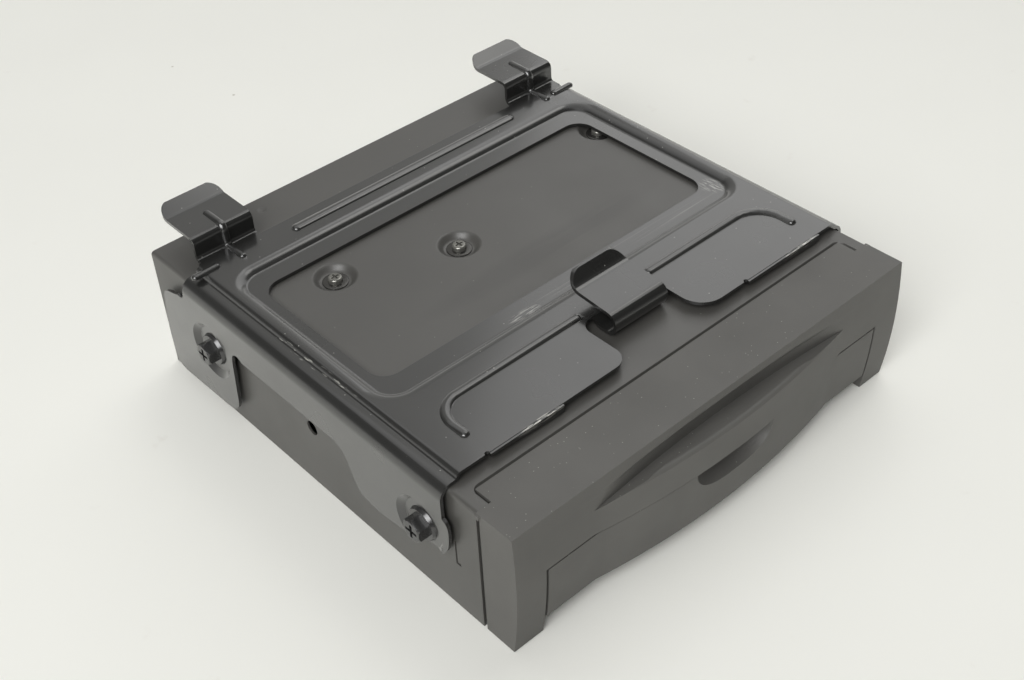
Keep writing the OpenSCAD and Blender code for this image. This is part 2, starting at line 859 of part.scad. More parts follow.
// A hook's side view as a bent strip along a line of points
function side_of(p, q, h) = let (d = (q - p) / norm(q - p)) [-d[1] * h, d[0] * h];
function strip_points(line, h) = [for (i = [0:len(line) - 1])
    let (a = i == 0 ? side_of(line[0], line[1], h) : side_of(line[i - 1], line[i], h),
        b = i == len(line) - 1 ? a : side_of(line[i], line[i + 1], h),
        m = a + b) line[i] + m * (2 * h * h / (m * m))];
function reversed(v) = [for (i = [len(v) - 1:-1:0]) v[i]];
module bent_strip(line) {
    polygon(concat(strip_points(line, bracket_t / 2), reversed(strip_points(line, -bracket_t / 2))));
}

// A hook's strip with its tip's corners rounded, seen from the front
module hook_strip(x0, line, tip_z) {
    tip_r = 6;
    intersection() {
        along_x(x0, x0 + hook_w) bent_strip(line);
        along_y(0, case_d + 20) round_rect([x0, case_h - 20], [x0 + hook_w, tip_z], tip_r);
    }
}

module rear_hook(x0) {
    half_t = bracket_t / 2;
    y = plate_y1 + 3.4;
    tip = y + 22.6;
    top = case_h + rear_hook_lift - half_t;
    root = plate_top - half_t;
    line = concat([[plate_y1 - 2, root]], arc([y - 2, root + 2], 2, -90, 0, 6),
        arc([y + 2, top - 2], 2, 180, 90, 6), arc([y + 16, top + 4], 4, 270, 298, 5), [[tip, top + 3]]);
    intersection() {
        along_x(x0, x0 + hook_w) bent_strip(line);
        round_plate([x0, y - 20], [x0 + hook_w, tip], 5, case_h, 20);
    }
    hook_bead(x0 + hook_w * 0.52, y, root, top, 2, 2.8);
}

// A bead from the plate, round the hook's lower bend, up its wall and over its upper bend
module hook_bead(x, y, root, top, r, w) {
    half_t = bracket_t / 2;
    reach = 8;
    translate([x, 0, root + half_t]) {
        along_y(y - r - reach, y - r) bead_section(w);
        bead_end([0, y - r - reach], w, 180);
    }
    translate([x, y - r, root + r]) rotate([90, 0, 90]) rotate([0, 0, -90])
        rotate_extrude(angle = 90) translate([r - half_t, 0]) rotate(90) bead_section(w);
    translate([x, y - half_t, root + r]) linear_extrude(top - root - 2 * r) rotate(180) bead_section(w);
    translate([x, y + r, top - r]) rotate([90, 0, 90]) rotate([0, 0, 90])
        rotate_extrude(angle = 90) translate([r + half_t, 0]) rotate(-90) bead_section(w);
    translate([x, 0, top + half_t - 0.2]) {
        along_y(y + r, y + r + reach) bead_section(w);
        bead_end([0, y + r + reach], w, 0);
    }
}

module front_hook(x0) {
    half_t = bracket_t / 2;
    root = band_top - half_t;
    top = case_h + front_hook_lift - half_t;
    r = (top - root) / 2;
    y = 43.6;
    line = concat([[51, plate_top - half_t], [49.4, plate_top - half_t - 0.4], [47.6, root + 0.3]],
        [[46, root]], arc([y, root + r], r, 270, 90, 12), arc([y + 12, top + 6.7], 6, 270, 322, 6),
        [[y + 18.8, top + 5.7]]);
    hook_strip(x0, line, top + 5.8);
}

// Half-round section of a pressed bead, and its rounded end
function bead_arc(w, h, a0, a1) = [for (i = [0:6]) [cos(a0 + (a1 - a0) * i / 6) * w / 2,
    sin(a0 + (a1 - a0) * i / 6) * h]];
module bead_section(w) {
    polygon(concat(bead_arc(w, bead_h, 0, 180), [[-w / 2, -bead_sink], [w / 2, -bead_sink]]));
}
module bead_end(p, w, turn) {
    translate(p) rotate([0, 0, turn])
        rotate_extrude(angle = 180)
            polygon(concat([[0, -bead_sink], [w / 2, -bead_sink]], bead_arc(w, bead_h, 0, 90)));
}

// A straight bead along x
module straight_bead(x0, x1, y, w) {
    translate([0, y, plate_top]) along_x(x0, x1) bead_section(w);
    bead_end([x0, y, plate_top], w, 90);
    bead_end([x1, y, plate_top], w, 270);
}

// A bead that runs along x from x0, turns a quarter circle about c and ends at y1
module hooked_bead(x0, c, r, y1, w) {
    right = c[0] > x0;
    far = right ? c[0] + r : c[0] - r;
    translate([0, c[1] + r, plate_top]) along_x(min(x0, c[0]), max(x0, c[0])) bead_section(w);
    translate([far, 0, plate_top]) along_y(y1, c[1]) bead_section(w);
    translate([c[0], c[1], plate_top]) rotate([0, 0, right ? 0 : 90])
        rotate_extrude(angle = 90) translate([r, 0]) bead_section(w);
    bead_end([x0, c[1] + r, plate_top], w, right ? 90 : 270);
    bead_end([far, y1, plate_top], w, 180);
}

// The tongue's front edge, bent down over part of its width and deeper towards x1
module bent_lip(x0, x1) {
    top = plate_top - 0.15;
    along_y(plate_y0 - 0.8, plate_y0 + 0.3)
        polygon([[x0, top], [x1, top], [x1, top - 2.7], [x1 - 4, top - 2.9], [x0 + 9, top - 1.5],
            [x0, top - bracket_t]]);
}

module mounting_bracket() {
    color("#1b1c1e") {
        translate([0, 0, plate_top - bracket_t]) linear_extrude(bracket_t) plate_outline();
        band_step();
        band_plate();
        side_fold(plate_xs[1]);
        mirror([1, 0, 0]) side_fold(-plate_xs[0]);
        both_sides() {
            side_flange();
            straight_bead(79.5, 88, plate_y1 - 5.4, 2.8);
        }
        rear_hook(-82);
        rear_hook(62);
        front_hook(-8);
        straight_bead(-46.5, 54.5, plate_y1 - 6.5, 4);
        hooked_bead(-12, [-63, 43.5], 9.6, 38.3, 3.4);
        hooked_bead(22, [65.5, 42], 11.5, 38, 3.4);
        bent_lip(lip_starts[0], -43);
        bent_lip(lip_starts[1], 78);
    }
}

module bracket_screws() {
    color("#19191b")
        both_sides()
            for (y = screw_ys)
                translate([dish_face, y, side_hole_z]) rotate([0, 90, 0]) {
                    difference() {
                        union() {
                            cylinder(r1 = screw_flange_r, r2 = screw_flange_r - 0.6, h = 1.2);
                            intersection() {
                                cylinder(r = screw_head_r, h = 5, $fn = 6);
                                cylinder(r1 = screw_head_r + 4, r2 = screw_head_r - 1.2, h = 5.6);
                            }
                        }
                        translate([0, 0, 5]) cross_cut(1.1, 2.6, 1.6);
                    }
                    translate([0, 0, -bracket_t - cover_t - chassis_t - nut_h - 1])
                        cylinder(r = screw_r, h = bracket_t + cover_t + chassis_t + nut_h + 1.1);
                }
}

// MAIN BOARD AND SOCKETS

module main_board() {
    color("#23573a")
        difference() {
            block([-board_x, board_y0, board_z], [board_x, board_y1, board_top]);
            both_sides() {
                for (y = post_ys)
                    translate([post_x, y, board_z - 1]) cylinder(r = 1.6, h = board_t + 2);
                for (y = ear_y)
                    translate([ear_x, y, board_z - 1]) cylinder(r = damper_r + 0.8, h = board_t + 2);
            }
        }
}

module board_posts() {
    color("#b8a25a")
        both_sides()
            for (y = post_ys)
                translate([post_x, y, chassis_t])
                    difference() {
                        cylinder(r = post_r, h = board_z - chassis_t, $fn = 6);
                        translate([0, 0, -1]) cylinder(r = 1.3, h = board_z + 1);
                    }
}

module board_screws() {
    color("#b4b6b8")
        both_sides()
            for (y = post_ys)
                translate([post_x, y, board_top]) {
                    difference() {
                        cylinder(r = 2.7, h = 1.4);
                        translate([0, 0, 1.4]) cross_cut(0.6, 1.4, 0.8);
                    }
                    translate([0, 0, -board_t - 3]) cylinder(r = 1.25, h = board_t + 3.01);
                }
}

module board_chips() {
    chip_h = 1.4;
    chips = [[-50, 60, 24, 24], [-14, 62, 14, 10], [10, 62, 14, 10], [44, 66, 20, 14], [-52, 100, 16, 16],
        [44, 104, 22, 10], [-20, 140, 18, 12], [48, 140, 12, 18]];
    color("#17181a")
        for (c = chips)
            block([c[0] - c[2] / 2, c[1] - c[3] / 2, board_top],
                [c[0] + c[2] / 2, c[1] + c[3] / 2, board_top + chip_h]);
}

module board_capacitors() {
    can_h = 3.6;
    spots = [[-62, 150], [-52, 150], [66, 92], [66, 80], [-30, 84], [24, 90]];
    color("#8f9296")
        for (p = spots)
            translate([p[0], p[1], board_top]) {
                cylinder(r = 3.1, h = can_h);
                translate([-3.4, -3.4, 0]) cube([6.8, 6.8, 0.6]);
            }
}

module shield_can() {
    lo = [20, 118, board_top];
    hi = [38, 150, board_top + 3.4];
    wall = 0.5;
    color("#b9bbbd")
        difference() {
            block(lo, hi);
            block(lo + [wall, wall, -1], hi - [wall, wall, wall]);
        }
}

function pin_x(i) = harness_x + 4 * (i - 5.5);
function harness_pin_z(k) = board_top + 4.4 + 6.2 * k;

module harness_socket() {
    wall = 1.4;
    color("#3b3a36")
        difference() {
            block([harness_x - harness_w / 2, harness_y, board_top],
                [harness_x + harness_w / 2, case_d + harness_out, board_top + harness_h]);
            block([harness_x - harness_w / 2 + wall, harness_y + 2, board_top + wall],
                [harness_x + harness_w / 2 - wall, case_d + harness_out + 1, board_top + harness_h - wall]);
            for (i = [0:11])
                for (k = [0:1])
                    bar_y(harness_y - 1, harness_y + 3, pin_x(i), harness_pin_z(k), harness_pin_r);
        }
}

module harness_pins() {
    color("#c7b36a")
        for (i = [0:11])
            for (k = [0:1])
                bar_y(harness_y - 1.4, case_d - 2, pin_x(i), harness_pin_z(k), harness_pin_r);
}

module antenna_sockets() {
    color("#c2ab5e")
        for (x = antenna_xs) {
            difference() {
                bar_y(rear_wall_y - 4, case_d + 1.6, x, antenna_z, antenna_r);
                bar_y(rear_wall_y - 1, case_d + 2, x, antenna_z, antenna_r - 1);
            }
            bar_y(rear_wall_y - 2, case_d, x, antenna_z, 0.8);
            block([x - 5, rear_wall_y - 8, board_top], [x + 5, rear_wall_y - 3.6, antenna_z + 4.4]);
        }
}

// SUSPENSION

module top_brace() {
    color("#9a9da1")
        difference() {
            round_plate([-brace_x, brace_y0], [brace_x, brace_y1], 6, brace_z, brace_t);
            round_plate([15 - brace_x, brace_y0 + 10], [brace_x - 17, brace_y1 - 32], 8,
                brace_z - 1, brace_t + 2);
            for (p = cover_screw_spots)
                translate([p[0], p[1], brace_z - 1]) cylinder(r = cover_screw_r + run_gap, h = 4);
        }
}

module brace_posts() {
    color("#b4b6b8")
        for (p = cover_screw_spots)
            translate([p[0], p[1], brace_z + brace_t])
                difference() {
                    cylinder(r = 3.4, h = brace_post_top - brace_z - brace_t, $fn = 6);
                    translate([0, 0, -1]) cylinder(r = cover_screw_r + run_gap, h = 12);
                }
}

// Points on a spring's middle line, and the least gap that its turns leave
spring_h = brace_z - deck_top - 0.1;
spring_pitch = (spring_h - 2 * spring_wire_r) / spring_turns;
spring_line = [for (i = [0:8 * spring_turns])
    [spring_coil_r * cos(45 * i), spring_coil_r * sin(45 * i), spring_wire_r + spring_pitch * i / 8]];
spring_gap = min([for (i = [0:8 * spring_turns - 5])
    for (k = [i + 5:8 * spring_turns]) norm(spring_line[i] - spring_line[k])]) - 2 * spring_wire_r;
echo(least_spring_gap = spring_gap);

// One coil spring: a tube swept along a helix
module coil() {
    rings = 8 * spring_turns;
    sides = 6;
    slope = atan2(spring_pitch, 2 * PI * spring_coil_r);
    points = [for (i = [0:rings])
        for (k = [0:sides - 1])
            let (t = 360 * i / 8, u = 360 * k / sides,
                out = spring_wire_r * cos(u), up = spring_wire_r * sin(u))
            [(spring_coil_r + out) * cos(t) + up * sin(slope) * sin(t),
                (spring_coil_r + out) * sin(t) - up * sin(slope) * cos(t),
                spring_wire_r + spring_pitch * i / 8 + up * cos(slope)]];
    faces = concat([[for (k = [0:sides - 1]) k]],
        [for (i = [0:rings - 1])
            for (k = [0:sides - 1])
                for (half = [0, 1])
                    let (a = i * sides + k, b = i * sides + (k + 1) % sides)
                    half == 0 ? [a, a + sides, b + sides] : [a, b + sides, b]],
        [[for (k = [sides - 1:-1:0]) rings * sides + k]]);
    polyhedron(points, faces);
}

module suspension_springs() {
    color("#a8aaac")
        both_sides()
            for (y = spring_ys)
                translate([spring_x, y, deck_top + 0.05]) coil();
}

module dampers() {
    color("#2b2b2b")
        both_sides()
            for (y = ear_y)
                translate([ear_x, y, 0])
                    rotate_extrude() polygon([[damper_pin_r, damper_z0], [damper_r - 1, damper_z0],
                        [damper_r, damper_z0 + 1], [damper_r, deck_z], [damper_neck, deck_z],
                        [damper_neck, deck_top], [damper_r, deck_top], [damper_r, damper_z1 - 1],
                        [damper_r - 1, damper_z1], [damper_pin_r, damper_z1]]);
}

module damper_posts() {
    color("#a4a6a8")
        both_sides()
            for (y = ear_y)
                translate([ear_x, y, chassis_t])
                    difference() {
                        cylinder(r = damper_r - 0.8, h = damper_z0 - chassis_t);
                        translate([0, 0, damper_z0 - chassis_t - 3]) cylinder(r = damper_pin_r, h = 4);
                    }
}

module damper_screws() {
    color("#b4b6b8")
        both_sides()
            for (y = ear_y)
                translate([ear_x, y, damper_z0 - 2.8]) {
                    cylinder(r = damper_pin_r, h = damper_z1 - damper_z0 + 2.81);
                    translate([0, 0, damper_z1 - damper_z0 + 2.8])
                        difference() {
                            cylinder(r = damper_r - 1.6, h = 1.6);
                            translate([0, 0, 1.6]) cross_cut(0.8, 2, 0.9);
                        }
                }
}

// DRIVE DECK

module mech_deck() {
    color("#a9abae")
        difference() {
            union() {
                block([-deck_x, deck_y0, deck_z], [deck_x, deck_y1, deck_top]);
                both_sides() {
                    block([wall_in, wall_y0, deck_z], [deck_x, wall_y1, wall_top]);
                    for (y = ear_y)
                        round_plate([wall_in, y - 8], [ear_x + 6.5, y + 8], 3, deck_z, deck_t);
                    for (y = spring_ys)
                        round_plate([wall_in, y - 5], [spring_x + 5, y + 5], 3, deck_z, deck_t);
                    along_x(clamp_ear_x, clamp_ear_x + deck_t)
                        round_rect([clamp_pivot_y - 4, deck_z],
                            [clamp_pivot_y + 4, clamp_pivot_z + 3.6], 3);
                }
                both_sides()
                    for (y = foot_ys)
                        translate([foot_x, y, deck_z]) cylinder(r = 2.6, h = traverse_z - deck_z);
            }
            round_plate([-deck_hole_x, spindle_y - 10], [deck_hole_x, clamp_pivot_y - 2], 4,
                deck_z - 1, deck_t + 2);
            both_sides() {
                block([gear_notch_x, deck_y0 - 1, deck_z - 1], [wall_in, gear_notch_y, deck_top + 1]);
                for (y = ear_y)
                    translate([ear_x, y, deck_z - 1]) cylinder(r = damper_neck, h = deck_t + 2);
                bar_x(clamp_ear_x - 1, clamp_ear_x + 3, clamp_pivot_y, clamp_pivot_z, clamp_pivot_r);
                bar_x(wall_in - 1, deck_x + 1, arm_pivot_y, arm_pivot_z, arm_pin_r);
            }
            for (y = cam_pin_ys)
                bar_x(wall_in - 1, deck_x + 1, y, cam_pin_z, cam_pin_r);
            block([wall_in - 1, finger_y - 7, wall_top - 4], [deck_x + 1, finger_y + 7, wall_top + 1]);
        }
}

module upper_guide() {
    color("#4b4d51")
        difference() {
            block([-wall_in, wall_y0 + 1, guide_z], [wall_in, guide_y1, guide_z + guide_t]);
            block([-30, guide_y1 - 14, guide_z - 1], [30, guide_y1 + 1, guide_z + 3]);
            for (s = [-1, 1])
                block([s * 44 - 8, 30, guide_z - 1], [s * 44 + 8, 52, guide_z + 3]);
        }
}

module traverse_plate() {
    color("#b3b5b8")
        difference() {
            block([-traverse_x, traverse_y0, traverse_z], [traverse_x, traverse_y1, traverse_top]);
            round_plate([-29, sled_y0 - 2], [29, rail_y1 - 3.5], 3, traverse_z - 1, traverse_t + 2);
            translate([0, spindle_y, traverse_z - 1]) cylinder(r = 4, h = traverse_t + 2);
            block([screw_x - feed_r - 0.4, feed_y - 0.2, traverse_z - 1],
                [screw_x + feed_r + 0.4, traverse_y1 + 1, traverse_top + 1]);
        }
}

module spindle_motor() {
    color("#8d9094")
        translate([0, spindle_y, traverse_top])
            difference() {
                union() {
                    cylinder(r = motor_r, h = 1);
                    cylinder(r = 3, h = seat_z - traverse_top - 2.4);
                    translate([0, 0, -traverse_t]) cylinder(r = 3.6, h = traverse_t + 0.01);
                }
                translate([0, 0, -traverse_t + 0.4]) cylinder(r = spindle_r + run_gap, h = 20);
            }
}

module turntable() {
    can_t = 0.8;
    table_t = 1.4;
    color("#c3c5c8")
        translate([0, spindle_y, 0]) {
            difference() {
                union() {
                    translate([0, 0, seat_z - table_t]) cylinder(r = table_r, h = table_t);
                    translate([0, 0, traverse_top + 1.5])
                        cylinder(r = table_r - 2, h = seat_z - traverse_top - 1.5 - table_t + 0.1);
                    translate([0, 0, seat_z - 0.1]) cylinder(r1 = hub_r, r2 = hub_r - 1.2, h = hub_h + 0.1);
                }
                translate([0, 0, traverse_top + 1])
                    cylinder(r = table_r - 2 - can_t, h = seat_z - traverse_top - 1 - table_t - 0.4);
                translate([0, 0, seat_z - 0.5])
                    difference() {
                        cylinder(r = table_r - 0.5, h = 1);
                        translate([0, 0, -1]) cylinder(r = hub_r + 2.6, h = 3);
                    }
            }
            translate([0, 0, traverse_z + 0.6]) cylinder(r = spindle_r, h = seat_z - traverse_z - 1.4);
        }
}

module turntable_pad() {
    color("#2a2a2b")
        translate([0, spindle_y, seat_z - 0.5])
            difference() {
                cylinder(r = table_r - 0.5, h = 0.5);
                translate([0, 0, -1]) cylinder(r = hub_r + 2.6, h = 3);
            }
}

module main_rail() {
    color("#d0d2d4") bar_y(rail_y0, rail_y1, -rail_x, rail_z, rail_r);
}

module sub_rail() {
    color("#d0d2d4") bar_y(rail_y0, rail_y1, rail_x, rail_z, rail_r);
}

module rail_blocks() {
    color("#55575a")
        both_sides()
            for (y = [rail_y0, rail_y1 - rail_block])
                difference() {
                    block([rail_x - 3, y, traverse_top], [rail_x + 3, y + rail_block, rail_z + rail_r + 1]);
                    bar_y(y - 1, y + rail_block + 1, rail_x, rail_z, rail_r);
                }
}

module pickup_sled() {
    wall = 1.4;
    nut_y = sled_y0 + 1;
    color("#6c6f74")
        difference() {
            union() {
                block([-17, sled_y0, rail_z - 2], [17, sled_y0 + sled_l, sled_top]);
                block([-rail_x - 3.4, sled_y0 - 1.6, rail_z - rail_r - 0.8],
                    [-rail_x + 8, sled_y0 + sled_l + 1, rail_z + rail_r + 1.2]);
                block([16, sled_y0 + 6, rail_z - rail_r - 1],
                    [rail_x + 2.4, sled_y0 + 14, rail_z + rail_r + 1]);
                block([screw_x - 1, nut_y, screw_z - 1], [-rail_x - 2, nut_y + 6, screw_z + lead_r + 1]);
            }
            bar_y(sled_y0 - 4, sled_y0 + sled_l + 4, -rail_x, rail_z, rail_r + run_gap);
            bar_y(sled_y0 - 4, sled_y0 + sled_l + 4, rail_x, rail_z, rail_r + run_gap);
            block([rail_x, sled_y0 - 4, rail_z - rail_r - run_gap],
                [rail_x + 6, sled_y0 + sled_l + 4, rail_z + rail_r + run_gap]);
            bar_y(nut_y - 1, nut_y + 7, screw_x, screw_z, lead_r + run_gap);
            block([-lens_w / 2 - lens_gap, lens_y - lens_w / 2 - lens_gap, rail_z - 0.8],
                [lens_w / 2 + lens_gap, lens_y + lens_w / 2 + lens_gap, sled_top + 1]);
            both_sides()
                block([lens_w / 2 + 2, sled_y0 + wall, rail_z + 0.6],
                    [15, sled_y0 + sled_l - wall, sled_top + 1]);
        }
}

module lens_holder() {
    color("#202124")
        difference() {
            block([-lens_w / 2, lens_y - lens_w / 2, rail_z - 0.8 + lens_rise + 0.1],
                [lens_w / 2, lens_y + lens_w / 2, sled_top + 0.6]);
            translate([0, lens_y, rail_z - 2]) cylinder(r = lens_r, h = 10);
        }
}

module objective_lens() {
    color("#9fb6c8")
        translate([0, lens_y, sled_top - 0.4])
            rotate_extrude() polygon(concat([[0, 0], [lens_r, 0], [lens_r, 0.7]],
                arc([0, -1.68], 3.38, 45, 90, 8)));
}

module lead_screw() {
    color("#d0d2d4") bar_y(lead_y0, lead_y1, screw_x, screw_z, lead_r);
}

module feed_motor() {
    color("#a9abae")
        difference() {
            union() {
                bar_y(feed_y, feed_y + feed_l, screw_x, screw_z, feed_r);
                bar_y(feed_y + feed_l - 0.01, feed_y + feed_l + 0.8, screw_x, screw_z, 2.2);
            }
            bar_y(feed_y - 1, lead_y1 + 0.3, screw_x, screw_z, lead_r + run_gap);
        }
}

module screw_bearings() {
    color("#55575a")
        for (y = [rail_y0, feed_y - 1.4])
            difference() {
                block([screw_x - 4.4, y, traverse_top], [screw_x + 4.4, y + 1.4, screw_z + 3.4]);
                bar_y(y - 1, y + 3, screw_x, screw_z, lead_r + run_gap);
            }
}

// CLAMP

module clamp_arm() {
    lug_out = clamp_lug_x + deck_t;
    color("#b3b5b8")
        difference() {
            union() {
                translate([0, 0, clamp_z])
                    linear_extrude(deck_t) {
                        translate([0, spindle_y]) circle(clamp_nose_r);
                        polygon([[-clamp_nose_r, spindle_y], [clamp_nose_r, spindle_y],
                            [lug_out, clamp_pivot_y - 13], [lug_out, clamp_pivot_y + 3], [-lug_out, clamp_pivot_y + 3],
                            [-lug_out, clamp_pivot_y - 13]]);
                        translate([0, finger_y - finger_w / 2]) square([cam_x + cam_t + 0.6, finger_w]);
                    }
                both_sides()
                    along_x(clamp_lug_x, clamp_lug_x + deck_t)
                        round_rect([clamp_pivot_y - 3.4, clamp_pivot_z - 3],
                            [clamp_pivot_y + 3, clamp_z + 1], 2);
            }
            translate([0, spindle_y, clamp_z - 1]) cylinder(r = puck_hole_r, h = 4);
            both_sides()
                bar_x(clamp_lug_x - 1, lug_out + 1, clamp_pivot_y, clamp_pivot_z, clamp_pivot_r + run_gap);
            round_plate([-16, spindle_y + 20], [16, clamp_pivot_y - 9], 4, clamp_z - 1, 4);
        }
}

module clamp_pivot() {
    color("#d0d2d4")
        bar_x(-clamp_ear_x - deck_t - 0.6, clamp_ear_x + deck_t + 0.6, clamp_pivot_y, clamp_pivot_z,
            clamp_pivot_r);
}

module clamp_puck() {
    cap_z = clamp_z + deck_t + 0.2;
    color("#34363a")
        translate([0, spindle_y, 0])
            difference() {
                union() {
                    translate([0, 0, puck_z]) cylinder(r = puck_r, h = puck_body);
                    translate([0, 0, puck_z + puck_body - 0.1])
                        cylinder(r = puck_hole_r - 0.6, h = cap_z - puck_z - puck_body + 0.2);
                    translate([0, 0, cap_z]) cylinder(r = puck_hole_r + 3, h = 1.2);
                }
                translate([0, 0, puck_z - 1]) cylinder(r = hub_r + 0.9, h = 2.7);
                translate([0, 0, puck_z + 1.6]) cylinder(r = 4.2, h = 3);
            }
}

module clamp_magnet() {
    color("#7d7f83") translate([0, spindle_y, puck_z + 1.6]) cylinder(r = 4.2, h = 3);
}

module cam_slide() {
    slot_r = cam_pin_r + run_gap;
    color("#4b4d51")
        along_x(cam_x, cam_x + cam_t)
            difference() {
                polygon([[cam_y0, cam_z0], [cam_y1, cam_z0], [cam_y1, cam_top],
                    [cam_ramp_y + cam_travel, cam_top], [cam_ramp_y, cam_top - cam_rise],
                    [cam_y0, cam_top - cam_rise]]);
                for (y = cam_pin_ys)
                    round_rect([y - cam_travel - slot_r, cam_pin_z - slot_r],
                        [y + slot_r, cam_pin_z + slot_r], slot_r - 0.01);
            }
}

module cam_pins() {
    color("#d0d2d4")
        for (y = cam_pin_ys) {
            bar_x(wall_in, cam_x + cam_t + 0.4, y, cam_pin_z, cam_pin_r);
            bar_x(cam_x + cam_t + 0.3, cam_x + cam_t + 1.3, y, cam_pin_z, cam_pin_r + 1.2);
        }
}

// LOADING ROLLER

module arm_side() {
    difference() {
        polygon(concat(arc([roller_y, roller_z], 3.8, 90, 270, 16), [[arm_pivot_y, arm_pivot_z - 6.8]],
            arc([arm_pivot_y, arm_pivot_z], 3.6, -60, 90, 10)));
        translate([roller_y, roller_z]) circle(bush_r);
        translate([arm_pivot_y, arm_pivot_z]) circle(arm_pin_r + run_gap);
    }
}

module roller_arm() {
    color("#b3b5b8")
        difference() {
            union() {
                both_sides() along_x(arm_x, arm_x + deck_t) arm_side();
                block([-arm_x - 0.1, bar_y0, bar_z], [arm_x + 0.1, bar_y1, bar_z + deck_t]);
                along_x(-motor_plate_x, -motor_plate_x + 1)
                    difference() {
                        round_rect([pinion_y - 5, bar_z - 0.5], [bar_y1, pinion_z + 4.4], 1.5);
                        translate([pinion_y, pinion_z]) circle(1.6);
                    }
            }
            bar_x(-arm_x - deck_t - 1, -arm_x + 1, idler_y, idler_z, idler_pin_r);
        }
}

module arm_pins() {
    color("#d0d2d4")
        both_sides() bar_x(arm_x - 0.6, deck_x + 0.2, arm_pivot_y, arm_pivot_z, arm_pin_r);
}

module roller_bushes() {
    color("#d8d4c4")
        both_sides()
            difference() {
                union() {
                    bar_x(arm_x, arm_x + deck_t, roller_y, roller_z, bush_r);
                    bar_x(arm_x - 0.3, arm_x, roller_y, roller_z, bush_r + 0.6);
                }
                bar_x(arm_x - 2, arm_x + 4, roller_y, roller_z, shaft_r + run_gap);
            }
}

module roller_shaft() {
    color("#d0d2d4") bar_x(-arm_x - deck_t, arm_x + deck_t, roller_y, roller_z, shaft_r);
}

// The rubber is waisted, so a disc touches it only at its edges
module loading_roller() {
    waist = 0.7;
    color("#242426")
        both_sides()
            difference() {
                translate([2, roller_y, roller_z]) rotate([0, 90, 0])
                    cylinder(r1 = roller_r - waist, r2 = roller_r, h = roller_x - 2);
                bar_x(0, roller_x + 1, roller_y, roller_z, shaft_r);
            }
}

// A spur gear with a tooth pointing along phase
module spur(teeth, phase) {
    r = gear_m * teeth / 2;
    pitch = 360 / teeth;
    root = r - 1.2 * gear_m;
    tip = r + 0.9 * gear_m;
    polygon([for (i = [0:teeth - 1])
        for (k = [[root, -0.30], [r, -0.21], [tip, -0.09], [tip, 0.09], [r, 0.21], [root, 0.30]])
            k[0] * [cos(phase + pitch * (i + k[1])), sin(phase + pitch * (i + k[1]))]]);
}

module gear_disc(teeth, phase, y, z, bore) {
    along_x(-gear_x, -gear_x + gear_w)
        translate([y, z])
            difference() {
                spur(teeth, phase);
                circle(bore);
            }
}

module roller_gear() {
    color("#e2ded2") gear_disc(roller_teeth, idler_tilt, roller_y, roller_z, shaft_r);
}

module idler_gear() {
    gap_phase = idler_tilt + 180 + 180 / idler_teeth;
    color("#e2ded2") gear_disc(idler_teeth, gap_phase, idler_y, idler_z, idler_pin_r + run_gap);
}

module idler_pin() {
    color("#d0d2d4") {
        bar_x(-arm_x - deck_t, -gear_x + gear_w + 0.3, idler_y, idler_z, idler_pin_r);
        bar_x(-gear_x + gear_w + 0.2, -gear_x + gear_w + 0.7, idler_y, idler_z, idler_pin_r + 0.8);
    }
}

// The pinion's tooth gap faces whichever idler tooth points at it
function tooth_offset() = let (p = 360 / idler_teeth,
    lead = pinion_tilt - (idler_tilt + 180 + 180 / idler_teeth)) lead - p * round(lead / p);
module motor_pinion() {
    phase = pinion_tilt + 180 + 180 / pinion_teeth + tooth_offset() * idler_teeth / pinion_teeth;
    color("#c9b458") {
        gear_disc(pinion_teeth, phase, pinion_y, pinion_z, pinion_shaft_r - 0.1);
        bar_x(-gear_x, -motor_plate_x + 6, pinion_y, pinion_z, pinion_shaft_r);
    }
}

module loading_motor() {
    face = -motor_plate_x + 1;
    color("#a9abae")
        difference() {
            bar_x(face, face + load_motor_l, pinion_y, pinion_z, load_motor_r);
            bar_x(face - 1, -motor_plate_x + 6.3, pinion_y, pinion_z, pinion_shaft_r + run_gap);
        }
}

in_place() top_cover();
in_place() bottom_chassis();
in_place() front_bezel();
in_place() flap_door();
in_place() flap_pins();
in_place() mounting_bracket();
in_place() bracket_screws();
in_place() cover_screws();
in_place() clinch_nuts();
in_place() eject_button();
in_place() eject_board();
in_place() eject_switch();
in_place() main_board();
in_place() board_posts();
in_place() board_screws();
in_place() board_chips();
in_place() board_capacitors();
in_place() shield_can();
in_place() harness_socket();
in_place() harness_pins();
in_place() antenna_sockets();
in_place() top_brace();
in_place() brace_posts();
in_place() suspension_springs();
in_place() dampers();
in_place() damper_posts();
in_place() damper_screws();
in_place() mech_deck();
in_place() upper_guide();
in_place() traverse_plate();
in_place() spindle_motor();
in_place() turntable();
in_place() turntable_pad();
in_place() main_rail();
in_place() sub_rail();
in_place() rail_blocks();
in_place() pickup_sled();
in_place() lens_holder();
in_place() objective_lens();
in_place() lead_screw();
in_place() feed_motor();
in_place() screw_bearings();
in_place() clamp_arm();
in_place() clamp_pivot();
in_place() clamp_puck();
in_place() clamp_magnet();
in_place() cam_slide();
in_place() cam_pins();
in_place() roller_arm();
in_place() arm_pins();
in_place() roller_bushes();
in_place() roller_shaft();
in_place() loading_roller();
in_place() roller_gear();
in_place() idler_gear();
in_place() idler_pin();
in_place() motor_pinion();
in_place() loading_motor();
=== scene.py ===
import math

import bpy
from mathutils import Matrix, Vector


